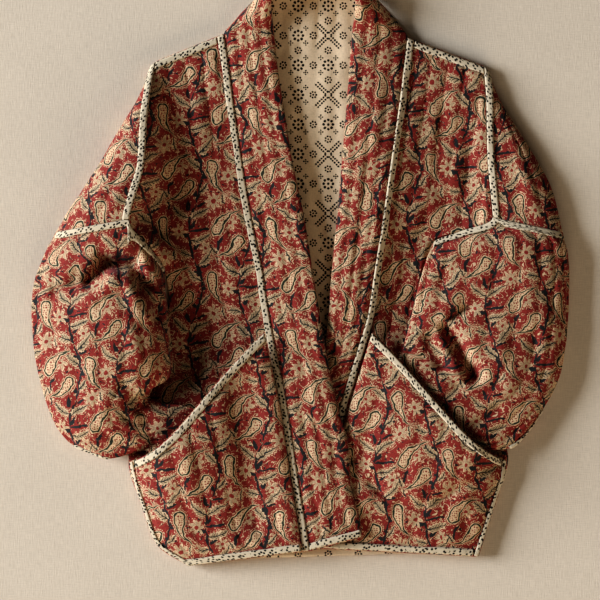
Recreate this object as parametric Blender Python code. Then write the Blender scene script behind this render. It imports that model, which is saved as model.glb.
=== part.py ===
"""Quilted kimono jacket laid out flat on its back, both sleeve ends tucked into its slanted pockets.

Left and right are the wearer's, so the right side lies at -X. +Y runs to the collar and +Z up from the
surface. Lengths in the tables are millimetres; the meshes are in metres.
"""

from collections import namedtuple

import bmesh
import bpy
import numpy as np

MM = 0.001
UP = np.array((0.0, 0.0, 1.0))

# Cloth: a plain inner face, and an outer face raised between the sewn quilting lines.
WALL = 3.0
BAND_WALL = 4.0
BACK_WALL = 3.0
LINING_WALL = 1.0
SEAM_GAP = 0.3
QUILT_RISE = 1.6
CHANNEL = 22.0
BAND_CHANNELS = 4

# Bindings: narrow strips of the lining cloth over the seams and edges.
BINDING = 10.0
SIDE_BINDING = 6.0
BINDING_RISE = 3.2
BINDING_GAP = 0.5
BINDING_SLOPE = 0.18

# Sleeves: columns over the top and under the arm, and how they ride over the body's side.
TOP_COLUMNS = 20
UNDER_COLUMNS = 10
FULLNESS = {"right": 0.75, "left": 0.42}
RIDE_START = 24.0
RIDE_END = 7.0
UNDERARM_FREE = 15.0
UNDERARM_RAMP = 30.0

# Extra rows half way between the first of a sleeve's rings, and the widest share a binding takes of a row.
SLEEVE_HALF_ROWS = (2.5, 3.5)
SLEEVE_BINDING_SHARE = 0.7
UNDER_SEAM_RISE = 1.5

# Shoulder panels: columns over the top and under, after the binding's own, and the round of the fold.
SHOULDER_TOP = 8
SHOULDER_UNDER = 5
SHOULDER_BINDING_SHARE = 0.45
SHOULDER_UNDER_START = 0.92
SHOULDER_ROUND = 2.4
SHOULDER_CROWN = 2.2
SHOULDER_CROWN_LEAN = 0.45
SHOULDER_FULL_QUILT = 90.0

FRONT_COLUMNS = 14
POCKET_COLUMNS = 14

# Extra rows of a front near its hem and below its shoulder binding, and of a pocket between its bindings.
FRONT_LOW_ROWS = (0.5, 4.5)
FRONT_TOP_ROW = 0.22
POCKET_ROWS = 6
POCKET_FIRST_ROW = 0.6
POCKET_LAST_ROW = 0.9

# Share of a front's width up to which its channels keep their width; past it they close up.
FREE_SHARE = 0.65
# How far the middle of a pocket's mouth sags below a straight line, and how far out it sags most.
MOUTH_SAG = {"right": 17.0, "left": 14.5}
SAG_SKEW = 2.0

# Smallest steps for measuring a slope and an edge's run, points on a side edge, and the shading angle.
SMALL_STEP = 0.1
SHORTEST_RUN = 1.0
EDGE_POINTS = 60
SHARP_ANGLE = 0.7

Front = namedtuple("Front", "seam_x seam_y side_x side_y seam_z mid_z low_z side_z edge_x edge_y edge_z")
Pocket = namedtuple("Pocket", "inner_x inner_y side_x side_y inner_z mid_z low_z side_z")
Shoulder = namedtuple("Shoulder", "outer_x outer_y crown_z outer_z")
Sleeve = namedtuple(
    "Sleeve", "outer_x outer_y crown_x crown_y inner_x inner_y outer_z crown_z inner_z ride_z"
)
Neck = namedtuple("Neck", "seam_x seam_y seam_z edge_x edge_y edge_z arch")
Fold = namedtuple("Fold", "x0 y0 x1 y1 width depth")
Point = namedtuple("Point", "x y")

# A front from hem to shoulder: its band seam, its side edge, its heights from seam to side, and the
# band's free edge beside it.
FRONT_RIGHT = (
    Front(12, -354, -140, -374, 23.0, 17.0, 10.0, 8.0, 76, -337, 25.0),
    Front(9, -333, -177, -349, 23.5, 16.5, 10.0, 8.0, 73, -315, 26.0),
    Front(1, -286, -198, -296, 24.0, 15.0, 9.5, 8.0, 62, -272, 27.0),
    Front(-7, -235, -213, -243, 24.0, 11.5, 9.5, 8.0, 59, -225, 28.0),
    Front(-18, -165, -201, -165, 24.0, 11.0, 9.5, 8.0, 43, -165, 29.0),
    Front(-33, -90, -172, -90, 18.0, 10.5, 9.5, 8.0, 27, -85, 28.0),
    Front(-41, -45, -163, -42, 16.0, 10.5, 9.5, 8.0, 20, -40, 26.0),
    Front(-47, -5, -168.5, -7, 15.0, 11.0, 10.5, 10.0, 13.5, 0, 25.0),
    Front(-54, 27, -191, 28, 14.5, 11.5, 13.0, 42.0, 8.8, 30, 24.5),
    Front(-60, 57, -211, 58, 14.0, 12.0, 16.0, 57.0, 4, 60, 24.0),
    Front(-72, 127, -193, 127, 13.5, 12.5, 16.0, 50.0, -10, 127, 22.5),
    Front(-82, 195, -189, 190, 12.5, 12.0, 14.5, 36.0, -21, 195, 20.0),
    Front(-89, 250, -183, 236, 11.5, 11.0, 11.5, 18.0, -29, 247, 18.0),
    Front(-95, 289, -179, 255, 11.0, 10.5, 10.0, 9.5, -34, 295, 18.0),
)
FRONT_LEFT = (
    Front(6, -351, 222, -362, 9.5, 10.0, 9.5, 8.0, -53, -351, 8.5),
    Front(13, -320, 235, -322, 9.5, 10.5, 9.5, 8.0, -46, -320, 8.5),
    Front(23, -275, 250, -276, 10.0, 10.5, 9.5, 8.0, -37, -275, 9.0),
    Front(34, -236, 259, -239, 11.5, 10.5, 9.5, 8.0, -25, -236, 9.5),
    Front(51, -171, 228, -172, 16.0, 10.5, 9.5, 8.0, 0, -172, 11.0),
    Front(72, -104, 180, -100, 20.0, 11.0, 9.5, 8.0, 31, -106, 15.0),
    Front(85, -59, 150, -48, 22.0, 11.5, 9.5, 8.0, 36, -59, 19.0),
    Front(92, -12, 148, -15, 23.0, 12.0, 10.0, 8.0, 40, -12, 21.0),
    Front(98, 26, 161, 28, 24.0, 12.5, 10.5, 9.0, 43.5, 26, 21.0),
    Front(101, 42, 200, 43.5, 25.0, 11.5, 10.5, 14.0, 45, 42, 21.0),
    Front(103, 58, 240, 61, 25.5, 11.5, 11.5, 20.0, 47, 58, 21.0),
    Front(115, 142, 233, 142, 25.0, 11.5, 12.0, 18.0, 54, 142, 21.0),
    Front(125, 212, 232, 207, 20.5, 11.5, 11.5, 14.0, 60, 212, 20.0),
    Front(134, 284, 229, 249, 11.0, 10.5, 10.0, 9.5, 66, 290, 18.0),
)
# Rows of those tables that bound the underarm seam, and the armhole from there to the shoulder.
UNDERARM_ROW = {"right": 7, "left": 8}
ARMHOLE_ROW = {"right": 9, "left": 10}
FRONTS = {"right": FRONT_RIGHT, "left": FRONT_LEFT}
ACROSS = (0.0, 0.45, 0.8, 1.0)

# Troughs (negative) and ridges in the two fronts.
FRONT_FOLDS = {
    "right": (
        Fold(-176, 232, -168, 150, 8, -1.5),
        Fold(-168, 150, -168, 20, 9, -1.5),
        Fold(-120, 120, -105, -60, 16, -2.0),
    ),
    "left": (
        Fold(138, 225, 118, 20, 13, -3.0),
        Fold(195, 210, 190, 110, 18, 3.0),
    ),
}

# The band where it turns about the neck, from the right shoulder to the left one.
NECK = (
    Neck(-85, 303, 8.0, -36, 312, 28.0, 5.0),
    Neck(-61, 325, 6.0, -37, 332, 42.0, 7.0),
    Neck(-28, 346, 5.5, -26, 354, 50.0, 6.0),
    Neck(20, 354, 5.5, 19, 373.2, 53.0, 4.0),
    Neck(69, 346, 5.5, 61, 354, 50.0, 6.0),
    Neck(102, 325, 6.0, 70, 332, 42.0, 7.0),
    Neck(123, 303, 8.0, 69, 312, 28.0, 5.0),
)
NECK_ROWS = 13
LEG_ARCH = 2.0

# A pocket from hem to mouth: its edge beside the band's binding, its side edge and its heights between.
POCKETS = {
    "right": (
        Pocket(0.5, -355, -140, -374, 27.4, 22.8, 17.0, 12.0),
        Pocket(-4, -318, -180, -345, 27.8, 26.5, 22.5, 12.0),
        Pocket(-13, -262, -196, -302, 28.4, 32.0, 29.0, 12.0),
        Pocket(-25, -180, -206, -272, 30.4, 38.0, 36.0, 13.5),
        Pocket(-45, -84, -212.5, -245, 31.6, 39.0, 39.0, 19.0),
    ),
    "left": (
        Pocket(17.5, -351, 222, -362, 14.2, 15.0, 14.5, 12.0),
        Pocket(25, -318, 236, -320, 14.6, 19.0, 19.5, 12.0),
        Pocket(37, -272, 247, -285, 16.0, 27.0, 26.0, 12.0),
        Pocket(60, -185, 255, -262, 22.0, 35.0, 35.0, 13.5),
        Pocket(90, -84, 257, -243, 28.0, 38.0, 38.0, 14.5),
    ),
}
POCKET_FOLDS = {
    "right": (Fold(-74, -150, -66, -255, 14, -3.5), Fold(-165, -260, -120, -330, 18, -2.5)),
    "left": (Fold(88, -268, 108, -292, 9, -2.5), Fold(238, -246, 175, -292, 14, -3.0)),
}

# The dropped shoulder panel beside the armhole, from the shoulder down to the sleeve seam.
SHOULDERS = {
    "right": (
        Shoulder(-187, 246, 12.0, 5.0),
        Shoulder(-202, 210, 28.0, 7.0),
        Shoulder(-226, 169, 42.0, 8.0),
        Shoulder(-250, 127, 50.0, 9.0),
        Shoulder(-274, 90, 55.0, 10.0),
        Shoulder(-305, 42, 57.0, 11.0),
    ),
    "left": (
        Shoulder(236, 240, 10.0, 5.0),
        Shoulder(250, 206, 15.0, 7.0),
        Shoulder(272, 170, 18.5, 8.0),
        Shoulder(296, 131, 22.0, 9.0),
        Shoulder(315, 94, 25.0, 10.0),
        Shoulder(328, 42, 27.0, 11.0),
    ),
}

# A sleeve from below its seam round the elbow and into the pocket.
SLEEVES = {
    "right": (
        Sleeve(-320, 10, -224, 24, -168, -28, 12, 54, 16, 13),
        Sleeve(-331, -20, -222, -12, -165, -51, 13, 56, 17, 13),
        Sleeve(-335, -55, -220, -55, -163, -76, 14, 57, 18, 13),
        Sleeve(-333, -92, -218, -95, -160, -100, 14, 57, 18, 13),
        Sleeve(-327, -130, -217, -130, -159, -122, 14, 55, 18, 13),
        Sleeve(-317, -168, -226, -155, -164, -140, 13, 51, 18, 13),
        Sleeve(-302, -202, -236, -180, -184, -151, 13, 46, 18, 13),
        Sleeve(-285, -221, -231, -196, -188, -163, 13, 42, 18, 14),
        Sleeve(-262, -232, -217, -205, -171, -172, 15, 38, 19, 14),
        Sleeve(-238, -239, -195, -210, -149, -174, 18, 34, 19, 14),
        Sleeve(-196, -229, -163, -209, -130, -180, 18, 28, 19, 14),
        Sleeve(-183, -240, -149, -221, -115, -194, 18, 26, 19, 14),
        Sleeve(-172, -260, -136, -236, -100, -210, 18, 26, 19, 14),
    ),
    "left": (
        Sleeve(333, 14, 274, 28, 157, 6, 11, 28, 16, 13),
        Sleeve(334.2, -18, 274, -5, 150, -16, 11, 29, 17, 13),
        Sleeve(333.5, -55, 270, -45, 144, -40, 11, 30, 18, 13),
        Sleeve(331, -92, 266, -85, 139, -62, 11, 31, 18, 13),
        Sleeve(326, -126, 260, -115, 134, -82, 11, 31, 18, 13),
        Sleeve(317, -152, 250, -135, 130, -96, 11, 31, 18, 13),
        Sleeve(303, -178, 236, -155, 128, -106, 12, 31, 18, 14),
        Sleeve(286, -203, 218, -170, 127, -115, 14, 30, 19, 14),
        Sleeve(262, -226, 196, -182, 126, -123, 18, 29, 19, 14),
        Sleeve(238, -228, 176, -190, 122, -134, 18, 28, 19, 14),
        Sleeve(218, -236, 160, -202, 114, -148, 18, 27, 19, 14),
        Sleeve(198, -250, 146, -217, 104, -163, 18, 26, 19, 14),
    ),
}
SLEEVE_FOLDS = {
    "right": (
        Fold(-282, -22, -240, 6, 12, -11.0),
        Fold(-240, 6, -200, -8, 12, -11.0),
        Fold(-200, -8, -172, -60, 11, -7.0),
        Fold(-300, -120, -230, -60, 22, 3.0),
        Fold(-215, -150, -190, -195, 10, -6.0),
    ),
    "left": (
        Fold(182, -82, 206, -116, 9, -8.0),
        Fold(206, -116, 216, -140, 9, -7.0),
        Fold(196, -60, 220, -45, 10, -4.0),
        Fold(270, 20, 300, -60, 22, 3.0),
    ),
}
# Rings of the sleeve, counted from its seam, between which its under seam shows at the outline.
UNDER_SEAM_RINGS = {"right": (8, 10), "left": (7, 9)}

# Back neckline between the two shoulder seams, and the back's hem.
BACK_NECK = (Point(-85, 301), Point(-61, 323), Point(-28, 344), Point(20, 352))
BACK_NECK += (Point(69, 344), Point(102, 323), Point(123, 301))
BACK_HEM_RISE = 6.0
NECK_POINT_DROP = 4.0
LINING_INSET = 4.0

COLLECTION = "quilted_kimono_jacket"
CLOTH_RED = (0.36, 0.07, 0.05, 1.0)
CLOTH_CREAM = (0.70, 0.58, 0.42, 1.0)
LINING_CREAM = (0.62, 0.48, 0.31, 1.0)
CLOTH_ROUGHNESS = 0.9


def through(keys, values, at, level=True):
    """Smooth values between the rows of a table; level keeps them from overshooting a row."""
    keys = np.asarray(keys, float)
    values = np.asarray(values, float)
    at = np.clip(np.asarray(at, float), keys[0], keys[-1])
    steps = np.diff(keys)
    slopes = np.diff(values, axis=0) / steps[:, None]
    before, after = slopes[:-1], slopes[1:]
    tangents = np.empty_like(values)
    tangents[0], tangents[-1] = slopes[0], slopes[-1]
    if level:
        same = before * after > 0
        total = np.where(same, before + after, 1.0)
        tangents[1:-1] = np.where(same, 2 * before * after / total, 0.0)
    else:
        tangents[1:-1] = (before + after) / 2
    row = np.clip(np.searchsorted(keys, at, side="right") - 1, 0, len(steps) - 1)
    step = steps[row][..., None]
    t = ((at - keys[row]) / steps[row])[..., None]
    rise = t * t * (3 - 2 * t)
    start = t * (1 - t) ** 2 * step
    end = -t * t * (1 - t) * step
    straight = values[row] * (1 - rise) + values[row + 1] * rise
    return straight + tangents[row] * start + tangents[row + 1] * end


def along(table, at):
    return through(np.arange(len(table)), table, at)


def smooth(t):
    t = np.clip(t, 0.0, 1.0)
    return t * t * (3 - 2 * t)


def unit(vectors):
    return vectors / np.maximum(np.linalg.norm(vectors, axis=-1, keepdims=True), 1e-9)


def fold_heights(plan, folds):
    """Height that the folds add at points seen from above: each is a soft trough or ridge on a line.

    Folds of one kind that meet run into each other at their full depth, and don't add up."""
    ridges = np.zeros(plan.shape[:-1])
    troughs = np.zeros(plan.shape[:-1])
    for fold in folds:
        start = np.array((fold.x0, fold.y0))
        run = np.array((fold.x1, fold.y1)) - start
        offset = plan - start
        share = np.clip(offset @ run / (run @ run), 0.0, 1.0)
        away = np.linalg.norm(offset - share[..., None] * run, axis=-1)
        height = abs(fold.depth) * np.exp(-((away / fold.width) ** 2))
        if fold.depth > 0:
            ridges += height**4
        else:
            troughs += height**4
    return ridges**0.25 - troughs**0.25


def panel_surface(table, folds, rows, shares, sag=0.0):
    """Points of a panel given by sections, each running from the seam (share 0) to the side (share 1)."""
    section = along(table, rows)
    seam, side = section[..., 0:2], section[..., 2:4]
    plan = seam + (side - seam) * shares[..., None]
    plan[..., 1] -= sag * np.sin(np.pi * shares**SAG_SKEW) * (rows / (len(table) - 1)) ** 2
    mix = through(ACROSS, np.eye(len(ACROSS)), shares, level=False)
    heights = (mix * section[..., 4:8]).sum(-1) + fold_heights(plan, folds)
    return np.concatenate([plan, heights[..., None]], axis=-1)


def channel_shares(widths, columns, first):
    """Shares of the columns across rows of these widths: one at the seam, one past the binding, then two
    for each sewn channel. Where a row is narrow, its last columns close up towards its edge."""
    ideal = np.concatenate([[0.0], first + CHANNEL / 2 * np.arange(columns + 1)])
    free = FREE_SHARE * np.minimum(widths, ideal[-1])[:, None]
    closed = free + (ideal - free) * (widths[:, None] - free) / (ideal[-1] - free)
    return np.where(ideal < free, ideal, closed) / widths[:, None]


def normals_of(grid, ring):
    """Unit normals of a grid of points; a ring's last column is next to its first."""
    if ring:
        across = np.roll(grid, -1, axis=1) - np.roll(grid, 1, axis=1)
    else:
        across = np.gradient(grid, axis=1)
    return unit(np.cross(across, np.gradient(grid, axis=0)))


def edge_normals(points, normals):
    """Normals turned to stand upright on an edge, so that two pieces sewn there don't cross inside."""
    run = np.gradient(points, axis=0)[:, :2]
    short = np.linalg.norm(run, axis=1) < SHORTEST_RUN
    run[short] = (points - np.roll(points, 1, axis=0))[short, :2]
    away = unit(np.stack([-run[:, 1], run[:, 0], np.zeros(len(run))], axis=1))
    return unit(normals - (normals * away).sum(1, keepdims=True) * away)


def panel_normals(grid, out):
    """Outward normals of an open panel, upright along its four edges."""
    normals = out * normals_of(grid, False)
    normals[0] = edge_normals(grid[0], normals[0])
    normals[-1] = edge_normals(grid[-1], normals[-1])
    normals[:, 0] = edge_normals(grid[:, 0], normals[:, 0])
    normals[:, -1] = edge_normals(grid[:, -1], normals[:, -1])
    return normals


def add_object(name, points, faces, material):
    """A closed mesh from points and faces, with its faces turned to point out."""
    mesh = bpy.data.meshes.new(name)
    mesh.from_pydata((np.asarray(points) * MM).tolist(), [], faces)
    form = bmesh.new()
    form.from_mesh(mesh)
    if form.calc_volume(signed=True) < 0:
        bmesh.ops.reverse_faces(form, faces=form.faces[:])
    form.to_mesh(mesh)
    form.free()
    mesh.shade_smooth()
    mesh.set_sharp_from_angle(angle=SHARP_ANGLE)
    mesh.materials.append(material)
    piece = bpy.data.objects.new(name, mesh)
    bpy.data.collections[COLLECTION].objects.link(piece)
    return piece


def wall_faces(rows, columns, ring):
    """Faces of a wall whose outer points come first and whose inner points follow in the same order."""
    spans = columns if ring else columns - 1
    inner = rows * columns
    faces = []
    for r in range(rows - 1):
        for c in range(spans):
            after = (c + 1) % columns
            a, b = r * columns + c, r * columns + after
            d, e = (r + 1) * columns + c, (r + 1) * columns + after
            faces.append((a, b, e, d))
            faces.append((inner + d, inner + e, inner + b, inner + a))
    rims = [(c, (c + 1) % columns) for c in range(spans)]
    last = (rows - 1) * columns
    for a, b in rims:
        faces.append((b, a, inner + a, inner + b))
        faces.append((last + a, last + b, inner + last + b, inner + last + a))
    if not ring:
        for r in range(rows - 1):
            a, d = r * columns, (r + 1) * columns
            faces.append((a, d, inner + d, inner + a))
            a, d = a + columns - 1, d + columns - 1
            faces.append((d, a, inner + a, inner + d))
    return faces


def add_wall(name, grid, normals, rise, inward, material, ring=False):
    """A cloth wall: the grid raised by the quilting outside, and moved inward by its thickness inside."""
    outer = grid + normals * rise[..., None]
    inner = grid + inward
    rows, columns = grid.shape[:2]
    points = np.concatenate([outer.reshape(-1, 3), inner.reshape(-1, 3)])
    add_object(name, points, wall_faces(rows, columns, ring), material)
    return outer


def add_strip(name, first, second, normals, material, rise=BINDING_RISE):
    """A binding over the stretch of cloth between two lines of a wall's outer points."""
    base = normals * BINDING_GAP
    top = normals * (BINDING_GAP + rise)
    first, second = cut_back(first), cut_back(second)
    run = second - first
    inset = unit(run) * SEAM_GAP / 2
    ring = np.stack([
        first + inset + base,
        first + run * BINDING_SLOPE + top,
        second - run * BINDING_SLOPE + top,
        second - inset + base,
    ], axis=1)
    rows, sides = ring.shape[:2]
    faces = [tuple(range(sides)), tuple((rows - 1) * sides + s for s in reversed(range(sides)))]
    for r in range(rows - 1):
        for s in range(sides):
            after = (s + 1) % sides
            faces.append((r * sides + after, r * sides + s, (r + 1) * sides + s, (r + 1) * sides + after))
    add_object(name, ring.reshape(-1, 3), faces, material)


def cut_back(line):
    """A line of points that ends a little short of the binding it meets."""
    line = line.copy()
    line[0] += unit(line[1] - line[0]) * BINDING_GAP
    line[-1] += unit(line[-2] - line[-1]) * BINDING_GAP
    return line


def add_plate(name, outline, bottom, thickness, material):
    """A flat panel: a filled outline extruded to its thickness."""
    curve = bpy.data.curves.new(name, "CURVE")
    curve.dimensions = "2D"
    curve.fill_mode = "BOTH"
    curve.extrude = thickness / 2 * MM
    spline = curve.splines.new("POLY")
    spline.points.add(len(outline) - 1)
    for point, (x, y) in zip(spline.points, outline):
        point.co = (x * MM, y * MM, 0.0, 1.0)
    spline.use_cyclic_u = True
    curve.materials.append(material)
    piece = bpy.data.objects.new(name, curve)
    piece.location.z = (bottom + thickness / 2) * MM
    bpy.data.collections[COLLECTION].objects.link(piece)


def cloth(name, colour):
    material = bpy.data.materials.new(name)
    material.use_nodes = True
    shader = material.node_tree.nodes["Principled BSDF"]
    shader.inputs["Base Color"].default_value = colour
    shader.inputs["Roughness"].default_value = CLOTH_ROUGHNESS
    shader.inputs["Metallic"].default_value = 0.0
    material.diffuse_color = colour
    return material


def quilt_rise(shape, first, last):
    """Rise of the outer points between the sewn lines, which run along the columns from first to last."""
    rise = np.zeros(shape)
    rise[1:-1, first + 1:last:2] = QUILT_RISE
    return rise


def front_rows(side):
    """Rows of a front: each section, one more in the long stretches, and one below the shoulder binding."""
    last = len(FRONTS[side]) - 1
    arm = ARMHOLE_ROW[side]
    extra = FRONT_LOW_ROWS + (arm + 0.5, arm + 1.5, last - FRONT_TOP_ROW)
    return np.unique(np.concatenate([np.arange(last + 1), extra]))


def make_front(side, red):
    table = np.array(FRONTS[side])
    rows = front_rows(side)
    section = along(table, rows)
    widths = np.linalg.norm(section[:, 2:4] - section[:, 0:2], axis=1)
    shares = channel_shares(widths, FRONT_COLUMNS, BINDING)
    grid = panel_surface(table, FRONT_FOLDS[side], rows[:, None] + 0 * shares, shares)
    rise = quilt_rise(shares.shape, 1, FRONT_COLUMNS + 1)
    rise[-2] = 0.0
    spread = np.zeros_like(shares)
    spread[:, 1:-1] = (shares[:, 2:] - shares[:, :-2]) * widths[:, None] / CHANNEL
    rise *= np.clip(spread, 0.0, 1.0)
    normals = panel_normals(grid, 1 if side == "left" else -1)
    outer = add_wall(f"front_{side}", grid, normals, rise, -WALL * UP, red)
    return {"rows": rows, "outer": outer, "normals": normals, "grid": grid}


def make_band(fronts, red):
    """The neck band: up the right front, round the neck, and down the left front."""
    legs = {}
    for side in ("right", "left"):
        front = fronts[side]
        section = along(np.array(FRONTS[side]), front["rows"])
        seam, edge = front["grid"][:, 0], section[:, 8:11]
        legs[side] = (seam + unit(edge - seam) * SEAM_GAP, edge, np.full(len(seam), LEG_ARCH))
    neck = along(np.array(NECK), np.linspace(0.0, len(NECK) - 1, NECK_ROWS))
    seam = np.concatenate([legs["right"][0], neck[:, 0:3], legs["left"][0][::-1]])
    edge = np.concatenate([legs["right"][1], neck[:, 3:6], legs["left"][1][::-1]])
    arch = np.concatenate([legs["right"][2], neck[:, 6], legs["left"][2]])
    share = np.linspace(0.0, 1.0, 2 * BAND_CHANNELS + 1)
    grid = seam[:, None] + (edge - seam)[:, None] * share[:, None]
    bow = 4 * share * (1 - share) * arch[:, None]
    grid = grid + normals_of(grid, False) * bow[..., None]
    rise = quilt_rise(grid.shape[:2], 0, 2 * BAND_CHANNELS)
    normals = normals_of(grid, False)
    normals[0] = edge_normals(grid[0], normals[0])
    normals[-1] = edge_normals(grid[-1], normals[-1])
    for leg in (slice(None, len(legs["right"][0])), slice(-len(legs["left"][0]), None)):
        normals[leg, 0] = edge_normals(grid[leg, 0], normals[leg, 0])
    outer = add_wall("neck_band", grid, normals, rise, -BAND_WALL * normals, red)
    return {"outer": outer, "normals": normals}


def make_pocket(side, red):
    """A pocket, with a row at each binding's edge along its hem and mouth, and a column along its side."""
    table = np.array(POCKETS[side])
    sag = MOUTH_SAG[side]
    last = len(table) - 1
    share = np.concatenate([np.linspace(0.0, 1.0, POCKET_COLUMNS + 1), [1.0]])
    middle = np.linspace(POCKET_FIRST_ROW, last - POCKET_LAST_ROW, POCKET_ROWS)
    rows = np.concatenate([[0.0, 0.0], middle, [last, last]])
    row_grid = np.repeat(rows[:, None], len(share), axis=1)
    section = along(table, row_grid[:, 0])
    widths = np.linalg.norm(section[:, 2:4] - section[:, 0:2], axis=1)
    share_grid = np.repeat(share[None], len(rows), axis=0)
    share_grid[:, -2] = 1.0 - SIDE_BINDING / widths
    share_grid[:, :-2] *= share_grid[:, -2:-1]
    for row, towards in ((1, 1.0), (-2, -1.0)):
        near = panel_surface(table, (), row_grid[row], share_grid[row], sag)
        far = panel_surface(table, (), row_grid[row] + SMALL_STEP * towards, share_grid[row], sag)
        edge = unit(np.gradient(near, axis=0)[:, :2])
        step = (far - near)[:, :2]
        gap = np.abs(edge[:, 0] * step[:, 1] - edge[:, 1] * step[:, 0])
        row_grid[row] += SMALL_STEP * towards * BINDING / gap
    grid = panel_surface(table, POCKET_FOLDS[side], row_grid, share_grid, sag)
    rise = quilt_rise(grid.shape[:2], 0, POCKET_COLUMNS)
    rise[1] = rise[-2] = 0.0
    normals = panel_normals(grid, 1 if side == "left" else -1)
    outer = add_wall(f"pocket_{side}", grid, normals, rise, -WALL * normals, red)
    return {"outer": outer, "normals": normals}


def make_shoulder(side, front, red):
    """A dropped shoulder panel, folded at its outer edge: front half on top, back half on the surface."""
    first = list(front["rows"]).index(ARMHOLE_ROW[side])
    armhole = front["grid"][first:, -1][::-1]
    outward = -1.0 if side == "right" else 1.0
    armhole = armhole + np.array((outward * SEAM_GAP, 0.0, 0.0))
    table = np.array(SHOULDERS[side])
    section = along(table, np.linspace(0.0, len(table) - 1, len(armhole)))
    outer_edge = section[:, 0:2]
    widths = np.linalg.norm(outer_edge - armhole[:, :2], axis=1)
    first_share = np.minimum(BINDING / widths, SHOULDER_BINDING_SHARE)[:, None]
    turn = np.linspace(0.0, np.pi / 2, SHOULDER_TOP + 1)
    beyond = first_share + (1 - first_share) * np.sin(turn)
    top = np.concatenate([np.zeros_like(first_share), beyond], axis=1)
    under = np.repeat(np.linspace(SHOULDER_UNDER_START, 0.0, SHOULDER_UNDER)[None], len(widths), axis=0)
    share = np.concatenate([top, under], axis=1)
    run = outer_edge - armhole[:, :2]
    plan = armhole[:, None, :2] + run[:, None] * share[..., None]
    drop = np.sqrt(np.clip(1 - top**SHOULDER_ROUND, 0.0, 1.0))
    heights = section[:, 3:4] + (armhole[:, 2:3] - section[:, 3:4]) * drop
    crown = SHOULDER_CROWN * top * drop * (1 - SHOULDER_CROWN_LEAN * top)
    heights += (section[:, 2:3] - armhole[:, 2:3]) * crown
    z = np.concatenate([heights, np.zeros_like(under)], axis=1)
    grid = np.concatenate([plan, z[..., None]], axis=-1)
    rise = quilt_rise(share.shape, 1, SHOULDER_TOP - 1)
    rise *= np.clip(widths / SHOULDER_FULL_QUILT, 0.0, 1.0)[:, None]
    normals = (1 if side == "right" else -1) * normals_of(grid, False)
    normals[-1] = edge_normals(grid[-1], normals[-1])
    normals[:, 0] = edge_normals(grid[:, 0], normals[:, 0])
    level = np.sqrt(1 - share**2)
    level[:, top.shape[1]:] *= -1
    flat_run = np.concatenate([unit(run), np.zeros((len(run), 1))], axis=1)
    inward = -flat_run[:, None] * share[..., None] - UP * level[..., None]
    outer = add_wall(f"shoulder_panel_{side}", grid, normals, rise, WALL * inward, red)
    return {"outer": outer, "normals": normals, "grid": grid, "top": top.shape[1]}


def sleeve_seam(side, shoulder, front):
    """The sleeve's seam seen from above: under the shoulder panel's edge, then down the front's edge."""
    over = shoulder["grid"][-1, :shoulder["top"]][::-1]
    rows = list(front["rows"])
    under = front["grid"][rows.index(UNDERARM_ROW[side]):rows.index(ARMHOLE_ROW[side]), -1][::-1]
    over = over + np.array((0.0, -SEAM_GAP, 0.0))
    outward = -1.0 if side == "right" else 1.0
    under = under + np.array((outward * SEAM_GAP, -SEAM_GAP, 0.0))
    return np.concatenate([over, under])


def ride_height(side, plan, height):
    """Height at which a sleeve's underside passes over the body: the surface outside, then its height."""
    table = np.array(FRONTS[side])
    edge = along(table, np.linspace(0.0, UNDERARM_ROW[side], EDGE_POINTS))
    order = np.argsort(edge[:, 3])
    side_x = np.interp(plan[..., 1], edge[order, 3], edge[order, 2])
    outward = -1.0 if side == "right" else 1.0
    outside = (plan[..., 0] - side_x) * outward
    below = table[UNDERARM_ROW[side]][3] - UNDERARM_FREE - plan[..., 1]
    return height * smooth((RIDE_START - outside) / (RIDE_START - RIDE_END)) * smooth(below / UNDERARM_RAMP)


def sleeve_rings(side, seam, turn):
    """The sleeve's rings, as points at these turns: over the top from its outer edge, then back under."""
    share = (1 - np.cos(turn)) / 2
    table = np.array(SLEEVES[side])
    outer, crown, inner = table[:, None, 0:2], table[:, None, 2:4], table[:, None, 4:6]
    s = share[:, None]
    plan = outer * (1 - s) * (1 - 2 * s) + crown * 4 * s * (1 - s) + inner * s * (2 * s - 1)
    edge_z = table[:, 6:7] * (1 - share) + table[:, 8:9] * share
    full = np.clip(4 * share * (1 - share), 0.0, 1.0) ** FULLNESS[side]
    top = edge_z + (table[:, 7:8] - (table[:, 6:7] + table[:, 8:9]) / 2) * full
    top += fold_heights(plan, SLEEVE_FOLDS[side]) * full
    base = ride_height(side, plan, table[:, 9:10])
    flat = np.sqrt(np.abs(np.sin(turn)))
    under = edge_z + (base - edge_z) * flat
    heights = np.where(turn <= np.pi, top, under)
    rings = np.concatenate([plan, heights[..., None]], axis=-1)
    length = np.concatenate([[0.0], np.cumsum(np.linalg.norm(np.diff(seam[:, :2], axis=0), axis=1))])
    first = np.stack([np.interp(share, length / length[-1], seam[:, k]) for k in range(3)], axis=1)
    low = first[:, 2] * (1 - flat)
    first[:, 2] = np.where(turn <= np.pi, first[:, 2], low)
    return np.concatenate([first[None], rings])


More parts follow.
